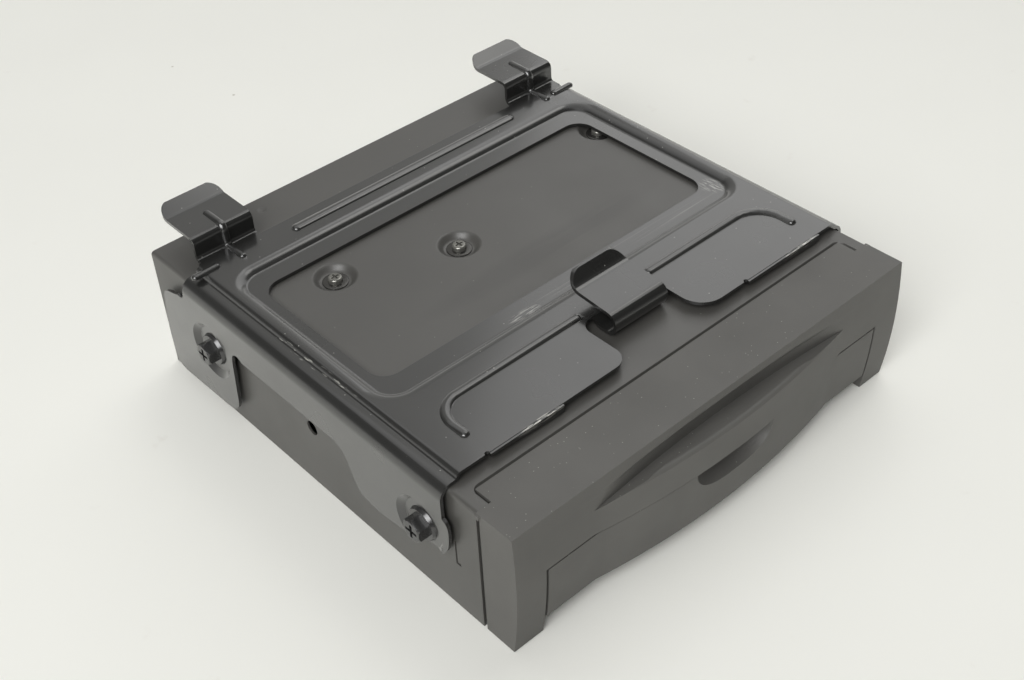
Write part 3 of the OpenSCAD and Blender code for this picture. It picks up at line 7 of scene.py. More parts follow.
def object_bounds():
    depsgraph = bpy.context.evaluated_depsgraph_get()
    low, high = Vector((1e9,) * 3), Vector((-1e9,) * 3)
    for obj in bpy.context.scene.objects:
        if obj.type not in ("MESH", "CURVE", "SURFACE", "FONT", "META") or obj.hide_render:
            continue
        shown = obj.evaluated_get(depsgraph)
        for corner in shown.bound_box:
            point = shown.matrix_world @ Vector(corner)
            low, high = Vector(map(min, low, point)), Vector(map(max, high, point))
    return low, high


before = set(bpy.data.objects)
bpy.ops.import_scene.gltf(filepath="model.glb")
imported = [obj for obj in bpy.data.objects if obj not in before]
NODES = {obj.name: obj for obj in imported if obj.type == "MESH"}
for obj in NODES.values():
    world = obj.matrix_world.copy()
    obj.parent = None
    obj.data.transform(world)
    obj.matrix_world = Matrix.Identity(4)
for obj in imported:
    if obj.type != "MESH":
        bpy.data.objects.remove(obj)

bl_info = {
    "name": "Car disc drive dresser",
    "version": (1, 0, 0),
    "blender": (4, 5, 0),
    "location": "View3D > Sidebar > Disc drive",
    "description": "Finishes the slot-loading disc drive and sets it in a plain studio",
    "category": "Object",
}

MM = 0.001
CAD_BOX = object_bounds()
# Millimetres from the bezel's front plane back to the middle of the case
HALF_DEPTH = 94
# Height of the upper faces of the cover screws' washers, in millimetres
WASHER_TOP = 48.95
# Scale of the fine lines on each axis, small along the lines: rolled sheet, ground shafts and drawn cans
ROLLED_X, ROLLED_Y = (0.06, 1, 1), (1, 0.06, 1)
GROUND_X, GROUND_Y = (0.05, 1, 1), (1, 0.05, 1)
DRAWN_X, DRAWN_Y, DRAWN_Z = (0.1, 1, 1), (1, 0.1, 1), (1, 1, 0.1)
# Blender's noise lies mostly between these
NOISE_LOW, NOISE_HIGH = 0.3, 0.7
# Share of a scraped patch's reach that is worn in full, and how softly its streaks end
PATCH_CORE, STREAK_EDGE = 0.55, 0.08
# Seams closer than this are joined before the edges that turn more than so much are rounded
SEAM = 0.002 * MM
EDGE_TURN, EDGE_SEGMENTS = math.radians(28), 2
# What the soft boxes face, in metres
DRIVE_MIDDLE = (0, 0, 0.03)
# Millimetres across the camera's sensor
SENSOR_WIDTH = 36
# Sines of the heights over the horizon between which the white walls end
WALL_TOP = (0.04, 0.3)
# The walls rise from a dim share in front to full light between these shares of the way from front to back
FRONT_TO_BACK, FRONT_DIM = (-0.7, 0.3), 0.35
# Ways to the window and the ceiling lamp, with the cosines at which each begins and is full
WINDOW_WAY, WINDOW_EDGE = (0.5, 0.58, 0.643), (0.7, 0.97)
LAMP_WAY, LAMP_EDGE = (0.494, 0.03, 0.869), (0.982, 0.995)


def hex_linear(code):
    """A written sRGB colour as Blender's linear numbers."""
    parts = [int(code[i:i + 2], 16) / 255 for i in (1, 3, 5)]
    return tuple(c / 12.92 if c <= 0.04045 else ((c + 0.055) / 1.055) ** 2.4 for c in parts)


def colour_prop(name, code, words):
    return bpy.props.FloatVectorProperty(name=name, description=words, subtype="COLOR", size=3, min=0, max=1,
                                         default=hex_linear(code))


class DriveFinish(bpy.types.PropertyGroup):
    """Colours and surfaces of the drive."""
    cover_black: colour_prop("Cover", "#484744", "Powder coat on the top cover")
    bracket_black: colour_prop("Bracket", "#1f1f1e", "Baked enamel on the stamped bracket")
    bezel_black: colour_prop("Bezel", "#595855", "Moulded ABS of the bezel and the flap")
    screw_black: colour_prop("Screws", "#2a2a2a", "Black plating on the screws")
    screw_worn: colour_prop("Cover screws", "#84837e", "Plating worn bright on the cover screws' heads")
    washer_grey: colour_prop("Washers", "#4c4b49", "Dull plating on the cover screws' washers")
    worn_steel: colour_prop("Worn steel", "#b9b8b2", "Bare metal where the enamel is scraped off")
    dust_grey: colour_prop("Dust", "#c4c3bc", "Dust that lies on the bezel and the bracket")
    board_green: colour_prop("Board", "#1f5a38", "Solder mask on the boards")
    edge_round: bpy.props.FloatProperty(name="Edge round", description="Radius on sheet and moulded edges",
                                        subtype="DISTANCE", unit="LENGTH", default=0.25 * MM, min=0, max=1 * MM)
    wear: bpy.props.FloatProperty(name="Wear", description="How much scraped metal and scratching shows",
                                  subtype="FACTOR", default=1, min=0, max=1)


class DriveStudio(bpy.types.PropertyGroup):
    """Floor, light and camera."""
    floor_colour: colour_prop("Floor", "#efefe9", "Plain pale table top")
    floor_size: bpy.props.FloatProperty(name="Floor size", description="Side of the floor", subtype="DISTANCE",
                                        unit="LENGTH", default=6, min=1, max=20)
    room_shade: bpy.props.FloatProperty(name="Room", description="Light from the room above the walls",
                                        default=0.14, min=0, max=2)
    room_wall: bpy.props.FloatProperty(name="Walls", description="Light from the white walls near the table",
                                       default=0.85, min=0, max=2)
    room_window: bpy.props.FloatProperty(name="Window", description="Light from the soft window behind at the right",
                                         default=0.37, min=0, max=2)
    room_lamp: bpy.props.FloatProperty(name="Ceiling lamp", description="Light from a lamp high up at the right",
                                       default=2.2, min=0, max=5)
    key_power: bpy.props.FloatProperty(name="Key lamp", description="Soft box at the front left",
                                       subtype="POWER", unit="POWER", default=140, min=0, max=1000)
    fill_power: bpy.props.FloatProperty(name="Fill lamp", description="Soft box at the right rear", subtype="POWER",
                                        unit="POWER", default=22, min=0, max=1000)
    top_power: bpy.props.FloatProperty(name="Top lamp", description="Soft box over the drive", subtype="POWER",
                                       unit="POWER", default=19, min=0, max=1000)
    lens: bpy.props.FloatProperty(name="Lens", description="Focal length on a 36 mm wide sensor", unit="CAMERA",
                                  default=49.906, min=20, max=200)
    azimuth: bpy.props.FloatProperty(name="Azimuth", description="Camera's turn to the left of the front",
                                     subtype="ANGLE", unit="ROTATION", default=math.radians(-40.52))
    elevation: bpy.props.FloatProperty(name="Elevation", description="Camera's height over the horizon",
                                       subtype="ANGLE", unit="ROTATION", default=math.radians(40.36))
    roll: bpy.props.FloatProperty(name="Roll", description="Camera's tilt about its own axis", subtype="ANGLE",
                                  unit="ROTATION", default=math.radians(-2.87))
    place: bpy.props.FloatVectorProperty(name="Place", description="Where the camera stands", subtype="XYZ",
                                         unit="LENGTH", size=3, default=(-0.25624, -0.2942, 0.34484))


def add_node(tree, kind, settings=None, links=None):
    """One node with its settings, by attribute, input name or input number, and its incoming links."""
    node = tree.nodes.new(kind)
    for key, value in (settings or {}).items():
        if isinstance(key, str) and hasattr(node, key):
            setattr(node, key, value)
        else:
            node.inputs[key].default_value = value
    for key, source in (links or {}).items():
        tree.links.new(source, node.inputs[key])
    return node


def new_surface(name, roughness, metallic=0.0, ior=1.5):
    """A named material with its tree, its shader and the surface's own place in millimetres."""
    material = bpy.data.materials.new(name)
    material.use_nodes = True
    tree = material.node_tree
    shader = tree.nodes["Principled BSDF"]
    shader.inputs["Roughness"].default_value = roughness
    shader.inputs["Metallic"].default_value = metallic
    if not metallic:
        shader.inputs["IOR"].default_value = ior
    place = add_node(tree, "ShaderNodeTexCoord")
    spot = add_node(tree, "ShaderNodeVectorMath", {"operation": "SCALE", "Scale": 1 / MM}, {0: place.outputs["Object"]})
    return material, tree, shader, spot.outputs[0], place.outputs["Normal"]


def grain_bump(tree, shader, spot, size, depth, detail=2.0, stretch=None):
    """Raised grain of a size and depth in millimetres, drawn out along an axis where stretch says so."""
    at = spot
    if stretch:
        at = add_node(tree, "ShaderNodeVectorMath", {"operation": "MULTIPLY", 1: stretch}, {0: spot}).outputs[0]
    noise = add_node(tree, "ShaderNodeTexNoise", {"Scale": 1 / size, "Detail": detail}, {"Vector": at})
    bump = add_node(tree, "ShaderNodeBump", {"Strength": 1, "Distance": depth * MM}, {"Height": noise.outputs["Fac"]})
    tree.links.new(bump.outputs["Normal"], shader.inputs["Normal"])


def mottle(tree, spot, size, low=0, high=1, offset=0.0):
    """A soft factor between low and high that wanders over size millimetres."""
    shifted = add_node(tree, "ShaderNodeVectorMath", {"operation": "ADD", 1: (offset, offset, offset)}, {0: spot})
    noise = add_node(tree, "ShaderNodeTexNoise", {"Scale": 1 / size, "Detail": 3}, {"Vector": shifted.outputs[0]})
    level = add_node(tree, "ShaderNodeMapRange", {"From Min": NOISE_LOW, "From Max": NOISE_HIGH,
                                                  "To Min": low, "To Max": high}, {"Value": noise.outputs["Fac"]})
    return level.outputs["Result"]


def tint(tree, colour, factor, amount):
    """The colour made lighter by amount where factor is high, and darker where it is low."""
    light = tuple(min(1, c * (1 + amount)) for c in colour)
    dark = tuple(c * (1 - amount) for c in colour)
    mix = add_node(tree, "ShaderNodeMix", {"data_type": "RGBA", 6: (*dark, 1), 7: (*light, 1)}, {0: factor})
    return mix.outputs[2]


def dust_grains(tree, spot, normal, apart, grain, kept, amount):
    """Grains of dust on what faces up: one in each cube of apart millimetres, of which a share is kept. A grain's
    radius is in millimetres too."""
    cells = add_node(tree, "ShaderNodeTexVoronoi", {"Scale": 1 / apart}, {"Vector": spot})
    dots = add_node(tree, "ShaderNodeMapRange", {"From Min": grain / apart, "From Max": 0.5 * grain / apart,
                                                 "To Max": amount}, {"Value": cells.outputs["Distance"]})
    chance = add_node(tree, "ShaderNodeSeparateColor", None, {0: cells.outputs["Color"]})
    chosen = add_node(tree, "ShaderNodeMath", {"operation": "LESS_THAN", 1: kept}, {0: chance.outputs[0]})
    # Dust thins out on what leans more than 37 degrees, and ends at 66
    up = add_node(tree, "ShaderNodeSeparateXYZ", None, {0: normal})
    facing = add_node(tree, "ShaderNodeMapRange", {"From Min": 0.4, "From Max": 0.8}, {"Value": up.outputs["Z"]})
    lying = add_node(tree, "ShaderNodeMath", {"operation": "MULTIPLY"},
                     {0: dots.outputs["Result"], 1: facing.outputs["Result"]})
    return add_node(tree, "ShaderNodeMath", {"operation": "MULTIPLY"},
                    {0: lying.outputs[0], 1: chosen.outputs[0]}).outputs[0]


def scraped(tree, spot, centre, half, streak, cut, amount):
    """A patch about centre, half wide on each axis, broken up into streaks of those sizes, all in millimetres."""
    away = add_node(tree, "ShaderNodeVectorMath", {"operation": "SUBTRACT", 1: centre}, {0: spot})
    share = add_node(tree, "ShaderNodeVectorMath", {"operation": "DIVIDE", 1: half}, {0: away.outputs[0]})
    reach = add_node(tree, "ShaderNodeVectorMath", {"operation": "LENGTH"}, {0: share.outputs[0]})
    patch = add_node(tree, "ShaderNodeMapRange", {"From Min": 1, "From Max": PATCH_CORE},
                     {"Value": reach.outputs["Value"]})
    lines = add_node(tree, "ShaderNodeVectorMath", {"operation": "DIVIDE", 1: streak}, {0: spot})
    noise = add_node(tree, "ShaderNodeTexNoise", {"Scale": 1, "Detail": 2}, {"Vector": lines.outputs[0]})
    broken = add_node(tree, "ShaderNodeMapRange", {"From Min": cut, "From Max": cut + STREAK_EDGE, "To Max": amount},
                      {"Value": noise.outputs["Fac"]})
    both = add_node(tree, "ShaderNodeMath", {"operation": "MULTIPLY"},
                    {0: patch.outputs["Result"], 1: broken.outputs["Result"]})
    return both.outputs[0]


def most_of(tree, factors):
    """The greatest of several factors."""
    total = factors[0]
    for factor in factors[1:]:
        total = add_node(tree, "ShaderNodeMath", {"operation": "MAXIMUM"}, {0: total, 1: factor}).outputs[0]
    return total


def over(tree, under, colour, factor):
    """A colour laid over another where factor is high."""
    mix = add_node(tree, "ShaderNodeMix", {"data_type": "RGBA", 7: (*colour, 1)}, {0: factor, 6: under})
    return mix.outputs[2]


def textured_abs(name, colour, dust):
    """Black ABS from a spark-eroded mould: an even fine grain that breaks up the highlights, with dust lying on it.
    The real grain is about 0.15 mm. It is drawn at 0.45 mm, because finer doesn't show in the render."""
    material, tree, shader, spot, normal = new_surface(name, roughness=0.55, ior=1.53)
    grain_bump(tree, shader, spot, size=0.45, depth=0.035)
    body = tint(tree, colour, mottle(tree, spot, size=22), amount=0.07)
    lying = dust_grains(tree, spot, normal, apart=1.8, grain=0.2, kept=0.4, amount=0.5)
    tree.links.new(over(tree, body, dust, lying), shader.inputs["Base Color"])
    tree.links.new(mottle(tree, spot, size=30, low=0.5, high=0.6, offset=40), shader.inputs["Roughness"])
    return material


def powder_coat(name, colour, dust):
    """Satin black powder coat on steel sheet: a soft even sheen with a slight orange peel, handled and a bit dusty."""
    material, tree, shader, spot, normal = new_surface(name, roughness=0.42, ior=1.7)
    grain_bump(tree, shader, spot, size=1.1, depth=0.012, detail=1)
    body = tint(tree, colour, mottle(tree, spot, size=45), amount=0.06)
    smear = scraped(tree, spot, centre=(8, 91 - HALF_DEPTH, 50.6), half=(60, 7, 3), streak=(90, 5, 9),
                    cut=0.42, amount=0.3)
    smear_colour = tuple(0.45 * c for c in colour)
    lying = dust_grains(tree, spot, normal, apart=4, grain=0.22, kept=0.3, amount=0.35)
    worn = over(tree, over(tree, body, smear_colour, smear), dust, lying)
    tree.links.new(worn, shader.inputs["Base Color"])
    tree.links.new(mottle(tree, spot, size=28, low=0.38, high=0.48, offset=15), shader.inputs["Roughness"])
    return material


def baked_enamel(name, colour, steel, dust, wear):
    """Semi-gloss black enamel baked on stamped steel: its clear resin skin gives sharper reflections than the case
    has. It is scraped to bare metal on the tongues' front edges, scratched white along the window and chipped along
    the left fold."""
    material, tree, shader, spot, normal = new_surface(name, roughness=0.3, ior=1.52)
    shader.inputs["Coat Weight"].default_value = 1
    shader.inputs["Coat Roughness"].default_value = 0.14
    shader.inputs["Coat IOR"].default_value = 1.6
    grain_bump(tree, shader, spot, size=1.6, depth=0.009, detail=1)
    body = tint(tree, colour, mottle(tree, spot, size=35), amount=0.08)
    lying = dust_grains(tree, spot, normal, apart=3, grain=0.28, kept=0.35, amount=0.4)
    # Along the window: left of the middle of its front side, at its right front corner and along the front side
    scratches = [
        scraped(tree, spot, centre=(-21, 68.3 - HALF_DEPTH, 52.3), half=(7.5, 2.2, 2.4), streak=(4, 0.3, 3),
                cut=0.5, amount=0.42 * wear),
        scraped(tree, spot, centre=(76.5, 74 - HALF_DEPTH, 52.3), half=(4.5, 5.5, 2.4), streak=(0.4, 3, 3),
                cut=0.5, amount=0.42 * wear),
        scraped(tree, spot, centre=(26, 70.8 - HALF_DEPTH, 52.3), half=(60, 3.6, 2.4), streak=(45, 0.28, 3),
                cut=0.6, amount=0.17 * wear),
    ]
    # The left tongue's edge, the right tongue's edge and the left fold
    bare = [
        scraped(tree, spot, centre=(-52.5, 26.9 - HALF_DEPTH, 53.7), half=(11, 1.1, 1.3), streak=(3.5, 0.6, 0.5),
                cut=0.47, amount=wear),
        scraped(tree, spot, centre=(68.5, 26.9 - HALF_DEPTH, 53.7), half=(11, 1, 1.3), streak=(4, 0.6, 0.5),
                cut=0.49, amount=wear),
        scraped(tree, spot, centre=(-85.3, 96 - HALF_DEPTH, 53), half=(1.5, 26, 1.6), streak=(0.7, 4.5, 0.8),
                cut=0.6, amount=wear),
    ]
    scraped_bare = most_of(tree, bare)
    dulled = over(tree, body, dust, most_of(tree, scratches + [lying]))
    tree.links.new(over(tree, dulled, steel, scraped_bare), shader.inputs["Base Color"])
    tree.links.new(scraped_bare, shader.inputs["Metallic"])
    tree.links.new(mottle(tree, spot, size=26, low=0.26, high=0.36, offset=60), shader.inputs["Roughness"])
    return material


def black_plating(name, colour, washer=None, metal=0.0):
    """Black zinc on machine screws: dark and glossy, worn a little brighter in patches. Where a washer's colour is
    given, what lies lower than the washer's upper face has it."""
    material, tree, shader, spot, _ = new_surface(name, roughness=0.22, metallic=metal, ior=1.7)
    grain_bump(tree, shader, spot, size=0.6, depth=0.01)
    body = tint(tree, colour, mottle(tree, spot, size=2.5), amount=0.3)
    if washer:
        height = add_node(tree, "ShaderNodeSeparateXYZ", None, {0: spot})
        low = add_node(tree, "ShaderNodeMath", {"operation": "LESS_THAN", 1: WASHER_TOP}, {0: height.outputs["Z"]})
        body = over(tree, body, washer, low.outputs[0])
    tree.links.new(body, shader.inputs["Base Color"])
    shader.inputs["Specular IOR Level"].default_value = 0.6
    return material


def sheet_metal(name, code, roughness, grain, along=None):
    """Plated, rolled, ground or drawn metal: fine lines along the way it was worked and a slowly wandering sheen."""
    material, tree, shader, spot, _ = new_surface(name, roughness, metallic=1.0)
    grain_bump(tree, shader, spot, size=grain, depth=0.004, stretch=along)
    body = tint(tree, hex_linear(code), mottle(tree, spot, size=9), amount=0.09)
    tree.links.new(body, shader.inputs["Base Color"])
    sheen = mottle(tree, spot, size=14, low=roughness - 0.06, high=roughness + 0.08, offset=7)
    tree.links.new(sheen, shader.inputs["Roughness"])
    return material


def plain_polymer(name, code, roughness, grain, depth, ior=1.5):
    """Moulded plastic or rubber with its own grain and a faint unevenness of tone."""
    material, tree, shader, spot, _ = new_surface(name, roughness, ior=ior)
    grain_bump(tree, shader, spot, size=grain, depth=depth)
    body = tint(tree, hex_linear(code), mottle(tree, spot, size=6), amount=0.07)
    tree.links.new(body, shader.inputs["Base Color"])
    sheen = mottle(tree, spot, size=8, low=roughness - 0.05, high=roughness + 0.06, offset=3)
    tree.links.new(sheen, shader.inputs["Roughness"])
    return material


def solder_mask(name, colour):
    """Glass-epoxy board under green solder mask: tracks 0.36 mm wide and 1.6 mm apart show as a lighter, slightly
    raised pattern."""
    material, tree, shader, spot, _ = new_surface(name, roughness=0.32, ior=1.55)
    tracks = add_node(tree, "ShaderNodeTexBrick", {"Scale": 1, "Mortar Size": 0.18, "Brick Width": 9.0,
                                                   "Row Height": 1.6, "Color1": (0, 0, 0, 1), "Color2": (0, 0, 0, 1),
                                                   "Mortar": (1, 1, 1, 1)}, {"Vector": spot})
    tree.links.new(tint(tree, colour, tracks.outputs["Color"], amount=0.28), shader.inputs["Base Color"])
    bump = add_node(tree, "ShaderNodeBump", {"Strength": 1, "Distance": 0.03 * MM}, {"Height": tracks.outputs["Fac"]})
    tree.links.new(bump.outputs["Normal"], shader.inputs["Normal"])
    return material


def coated_glass(name):
    """The pickup's moulded lens: clear with a faint blue anti-reflection coating."""
    material, tree, shader, spot, _ = new_surface(name, roughness=0.05, ior=1.52)
    shader.inputs["Base Color"].default_value = (*hex_linear("#c9dcf2"), 1)
    shader.inputs["Transmission Weight"].default_value = 0.7
    shader.inputs["Coat Weight"].default_value = 0.5
    grain_bump(tree, shader, spot, size=1.4, depth=0.001)
    return material


def joined_skin():
    """Geometry nodes that join a CAD mesh at its seams and drop its stored normals, made once for all pieces."""
    tree = bpy.data.node_groups.get("joined skin")
    if tree:
        return tree
    tree = bpy.data.node_groups.new("joined skin", "GeometryNodeTree")
    tree.interface.new_socket("Geometry", in_out="INPUT", socket_type="NodeSocketGeometry")
    tree.interface.new_socket("Geometry", in_out="OUTPUT", socket_type="NodeSocketGeometry")
    start = add_node(tree, "NodeGroupInput")
    bare = add_node(tree, "GeometryNodeRemoveAttribute", {"Name": "custom_normal"}, {"Geometry": start.outputs[0]})
    joined = add_node(tree, "GeometryNodeMergeByDistance", {"Distance": SEAM}, {"Geometry": bare.outputs[0]})
    soft_edges = add_node(tree, "GeometryNodeSetShadeSmooth", {"domain": "EDGE"}, {"Geometry": joined.outputs[0]})
    soft_faces = add_node(tree, "GeometryNodeSetShadeSmooth", {"domain": "FACE"}, {"Geometry": soft_edges.outputs[0]})
    add_node(tree, "NodeGroupOutput", None, {0: soft_faces.outputs[0]})
    return tree


def finish_node(name, material, radius=None):
    """Gives a CAD node its finish and, where there is a radius, rounds its sharp edges. Its own mesh is unchanged."""
    piece = NODES[name]
    piece.data.materials.clear()
    piece.data.materials.append(material)
    if radius:
        skin = piece.modifiers.new("joined skin", "NODES")
        skin.node_group = joined_skin()
        bevel = piece.modifiers.new("edge round", "BEVEL")
        bevel.width = radius
        bevel.segments = EDGE_SEGMENTS
        bevel.limit_method = "ANGLE"
        bevel.angle_limit = EDGE_TURN
        bevel.use_clamp_overlap = True
        piece.modifiers.new("flat faces stay flat", "WEIGHTED_NORMAL")


class DRIVE_OT_case(bpy.types.Operator):
    """Powder coat on the cover and zinc on the chassis"""
    bl_idname = "disc_drive.case"
    bl_label = "Case"

    def execute(self, context):
        look = context.scene.drive_finish
        finish_node("top_cover", powder_coat("powder_coated_steel", look.cover_black, look.dust_grey), look.edge_round)
        zinc = sheet_metal("zinc_plated_sheet", "#b4b7ba", roughness=0.36, grain=0.5, along=ROLLED_Y)
        finish_node("bottom_chassis", zinc, look.edge_round)
        return {"FINISHED"}


class DRIVE_OT_front(bpy.types.Operator):
    """Textured ABS on the bezel and the flap, with the flap's pins and the eject button"""
    bl_idname = "disc_drive.front"
    bl_label = "Front"

    def execute(self, context):
        look = context.scene.drive_finish
        abs_black = textured_abs("textured_black_abs", look.bezel_black, look.dust_grey)
        finish_node("front_bezel", abs_black, look.edge_round)
        finish_node("flap_door", abs_black, look.edge_round)
        satin = plain_polymer("satin_grey_abs", "#55565a", roughness=0.4, grain=0.4, depth=0.01)
        finish_node("eject_button", satin, look.edge_round)
        finish_node("flap_pins", sheet_metal("ground_steel_pin", "#c2c4c7", roughness=0.22, grain=0.2, along=GROUND_X))
        return {"FINISHED"}


class DRIVE_OT_bracket(bpy.types.Operator):
    """Baked enamel with its wear on the stamped bracket"""
    bl_idname = "disc_drive.bracket"
    bl_label = "Bracket"

    def execute(self, context):
        look = context.scene.drive_finish
        enamel = baked_enamel("baked_black_enamel", look.bracket_black, look.worn_steel, look.dust_grey, look.wear)
        finish_node("mounting_bracket", enamel, look.edge_round)
        return {"FINISHED"}


class DRIVE_OT_screws(bpy.types.Operator):
    """Black screws outside and bright nuts inside"""
    bl_idname = "disc_drive.screws"
    bl_label = "Screws"

    def execute(self, context):
        look = context.scene.drive_finish
        finish_node("bracket_screws", black_plating("black_zinc_plating", look.screw_black), radius=0.15 * MM)
        worn = black_plating("black_zinc_screw_with_washer", look.screw_worn, washer=look.washer_grey, metal=0.7)
        finish_node("cover_screws", worn, radius=0.12 * MM)
        bright = sheet_metal("bright_zinc_fastener", "#c3c4c3", roughness=0.28, grain=0.3)
        for name in ("clinch_nuts", "board_screws", "damper_screws", "brace_posts", "damper_posts"):
            finish_node(name, bright)
        return {"FINISHED"}


class DRIVE_OT_boards(bpy.types.Operator):
    """Boards, their parts and the rear sockets"""
    bl_idname = "disc_drive.boards"
    bl_label = "Boards and sockets"

    def execute(self, context):
        look = context.scene.drive_finish
        mask = solder_mask("green_solder_mask", look.board_green)
        epoxy = plain_polymer("moulded_black_epoxy", "#242526", roughness=0.5, grain=0.3, depth=0.01)
        brass = sheet_metal("tinned_brass", "#c9b27a", roughness=0.3, grain=0.3)
        for name in ("main_board", "eject_board"):
            finish_node(name, mask)
        for name in ("board_chips", "eject_switch"):
            finish_node(name, epoxy)
        for name in ("harness_pins", "antenna_sockets", "board_posts"):
            finish_node(name, brass)
        finish_node("board_capacitors",
                    sheet_metal("drawn_aluminium_can", "#c6c8ca", roughness=0.3, grain=0.4, along=DRAWN_Z))
        finish_node("shield_can", sheet_metal("tinplate_shield", "#bfc1c2", roughness=0.26, grain=0.5, along=DRAWN_Y))
        nylon = plain_polymer("glass_filled_nylon", "#4a4841", roughness=0.55, grain=0.5, depth=0.02)
        finish_node("harness_socket", nylon, look.edge_round)
        return {"FINISHED"}


class DRIVE_OT_suspension(bpy.types.Operator):
    """Brace, springs and rubber dampers that carry the deck"""
    bl_idname = "disc_drive.suspension"
    bl_label = "Suspension"

    def execute(self, context):
        finish_node("top_brace", sheet_metal("zinc_plated_brace", "#b4b7ba", roughness=0.36, grain=0.5, along=ROLLED_X))
        finish_node("suspension_springs", sheet_metal("drawn_spring_steel", "#a9abad", roughness=0.25, grain=0.3))
        finish_node("dampers",
                    plain_polymer("soft_black_rubber", "#2c2b2a", roughness=0.7, grain=0.5, depth=0.02, ior=1.52))
        return {"FINISHED"}


class DRIVE_OT_deck(bpy.types.Operator):
    """Deck, guide, traverse, spindle and turntable"""
    bl_idname = "disc_drive.deck"
    bl_label = "Deck"

    def execute(self, context):
        zinc = sheet_metal("zinc_plated_deck", "#b9bcbe", roughness=0.34, grain=0.5, along=ROLLED_Y)
        for name in ("mech_deck", "traverse_plate"):
            finish_node(name, zinc)
        finish_node("upper_guide", plain_polymer("dark_grey_acetal", "#55575a", roughness=0.42, grain=0.5, depth=0.01))
        finish_node("spindle_motor",
                    sheet_metal("nickel_plated_can", "#b5b3ac", roughness=0.24, grain=0.4, along=DRAWN_Z))
        finish_node("turntable", sheet_metal("turned_aluminium", "#cfd1d3", roughness=0.28, grain=0.25, along=DRAWN_Z))
        finish_node("turntable_pad",
                    plain_polymer("rubber_disc_pad", "#2c2c2c", roughness=0.75, grain=0.4, depth=0.02, ior=1.52))
        return {"FINISHED"}


class DRIVE_OT_pickup(bpy.types.Operator):
    """Rails, sled, lens, lead screw and feed motor"""
    bl_idname = "disc_drive.pickup"
    bl_label = "Pickup"

    def execute(self, context):
        ground = sheet_metal("ground_steel_rail", "#cdcfd1", roughness=0.18, grain=0.2, along=GROUND_Y)
        for name in ("main_rail", "sub_rail", "lead_screw"):
            finish_node(name, ground)
        grey = plain_polymer("grey_filled_nylon", "#626468", roughness=0.45, grain=0.4, depth=0.012)
        for name in ("rail_blocks", "screw_bearings", "pickup_sled"):
            finish_node(name, grey)
        finish_node("lens_holder", plain_polymer("black_lens_nylon", "#292a2c", roughness=0.45, grain=0.3, depth=0.01))
        finish_node("objective_lens", coated_glass("coated_lens_glass"))
        finish_node("feed_motor", sheet_metal("drawn_motor_can", "#b7b8b9", roughness=0.26, grain=0.4, along=DRAWN_Y))
        return {"FINISHED"}


class DRIVE_OT_clamp(bpy.types.Operator):
    """Clamp arm with its puck, and the cam slide that moves it"""
    bl_idname = "disc_drive.clamp"
    bl_label = "Clamp"

    def execute(self, context):
        finish_node("clamp_arm", sheet_metal("zinc_plated_arm", "#bcbec0", roughness=0.34, grain=0.5, along=ROLLED_Y))
        pins = sheet_metal("ground_steel_pivot", "#cdcfd1", roughness=0.2, grain=0.2, along=GROUND_X)
        for name in ("clamp_pivot", "cam_pins"):
            finish_node(name, pins)
        finish_node("clamp_puck", plain_polymer("black_acetal_puck", "#3a3b3d", roughness=0.4, grain=0.4, depth=0.01))
        finish_node("clamp_magnet", sheet_metal("nickel_plated_magnet", "#a3a39f", roughness=0.3, grain=0.4))
        finish_node("cam_slide",
                    sheet_metal("rolled_steel_slide", "#a9acae", roughness=0.34, grain=0.4, along=ROLLED_Y))
        return {"FINISHED"}


class DRIVE_OT_loader(bpy.types.Operator):
    """Roller arm, roller, gears and loading motor"""
    bl_idname = "disc_drive.loader"
    bl_label = "Loader"

    def execute(self, context):
        finish_node("roller_arm",
                    sheet_metal("zinc_plated_roller_arm", "#bcbec0", roughness=0.34, grain=0.5, along=ROLLED_X))
        pins = sheet_metal("ground_steel_shaft", "#cdcfd1", roughness=0.2, grain=0.2, along=GROUND_X)
        for name in ("arm_pins", "roller_shaft", "idler_pin"):
            finish_node(name, pins)
        natural = plain_polymer("natural_acetal", "#ddd8c8", roughness=0.42, grain=0.4, depth=0.008, ior=1.48)
        for name in ("roller_bushes", "roller_gear", "idler_gear"):
            finish_node(name, natural)
        finish_node("loading_roller",
                    plain_polymer("soft_roller_rubber", "#2a2a2b", roughness=0.68, grain=0.5, depth=0.02, ior=1.52))
        finish_node("motor_pinion", sheet_metal("hobbed_brass", "#c8ab5c", roughness=0.28, grain=0.3, along=DRAWN_X))
        finish_node("loading_motor",
                    sheet_metal("plated_motor_can", "#b7b8b9", roughness=0.26, grain=0.4, along=DRAWN_X))
        return {"FINISHED"}


def soft_lamp(name, power, size, place):
    """A square soft box that faces the drive."""
    data = bpy.data.lights.new(name, "AREA")
    data.energy = power
    data.size = size
    lamp = bpy.data.objects.new(name, data)
    lamp.location = place
    lamp.rotation_euler = (Vector(DRIVE_MIDDLE) - Vector(place)).to_track_quat("-Z", "Y").to_euler()
    bpy.context.scene.collection.objects.link(lamp)


def photo_camera(studio):
    """A camera at the photograph's place, turned by azimuth, elevation and roll."""
    a, e, r = studio.azimuth, studio.elevation, studio.roll
    back = Vector((math.sin(a) * math.cos(e), -math.cos(a) * math.cos(e), math.sin(e)))
    right = (-back).cross(Vector((0, 0, 1))).normalized()
    up = right.cross(-back)
    turned_right = right * math.cos(r) + up * math.sin(r)
    turned_up = up * math.cos(r) - right * math.sin(r)
    data = bpy.data.cameras.new("photo camera")
    data.lens = studio.lens
    data.sensor_width = SENSOR_WIDTH
    data.sensor_fit = "HORIZONTAL"
    data.clip_start = 10 * MM
    camera = bpy.data.objects.new("photo camera", data)
    turn = Matrix((turned_right, turned_up, back)).transposed().to_4x4()
    camera.matrix_world = Matrix.Translation(studio.place) @ turn
    bpy.context.scene.collection.objects.link(camera)
    bpy.context.scene.camera = camera


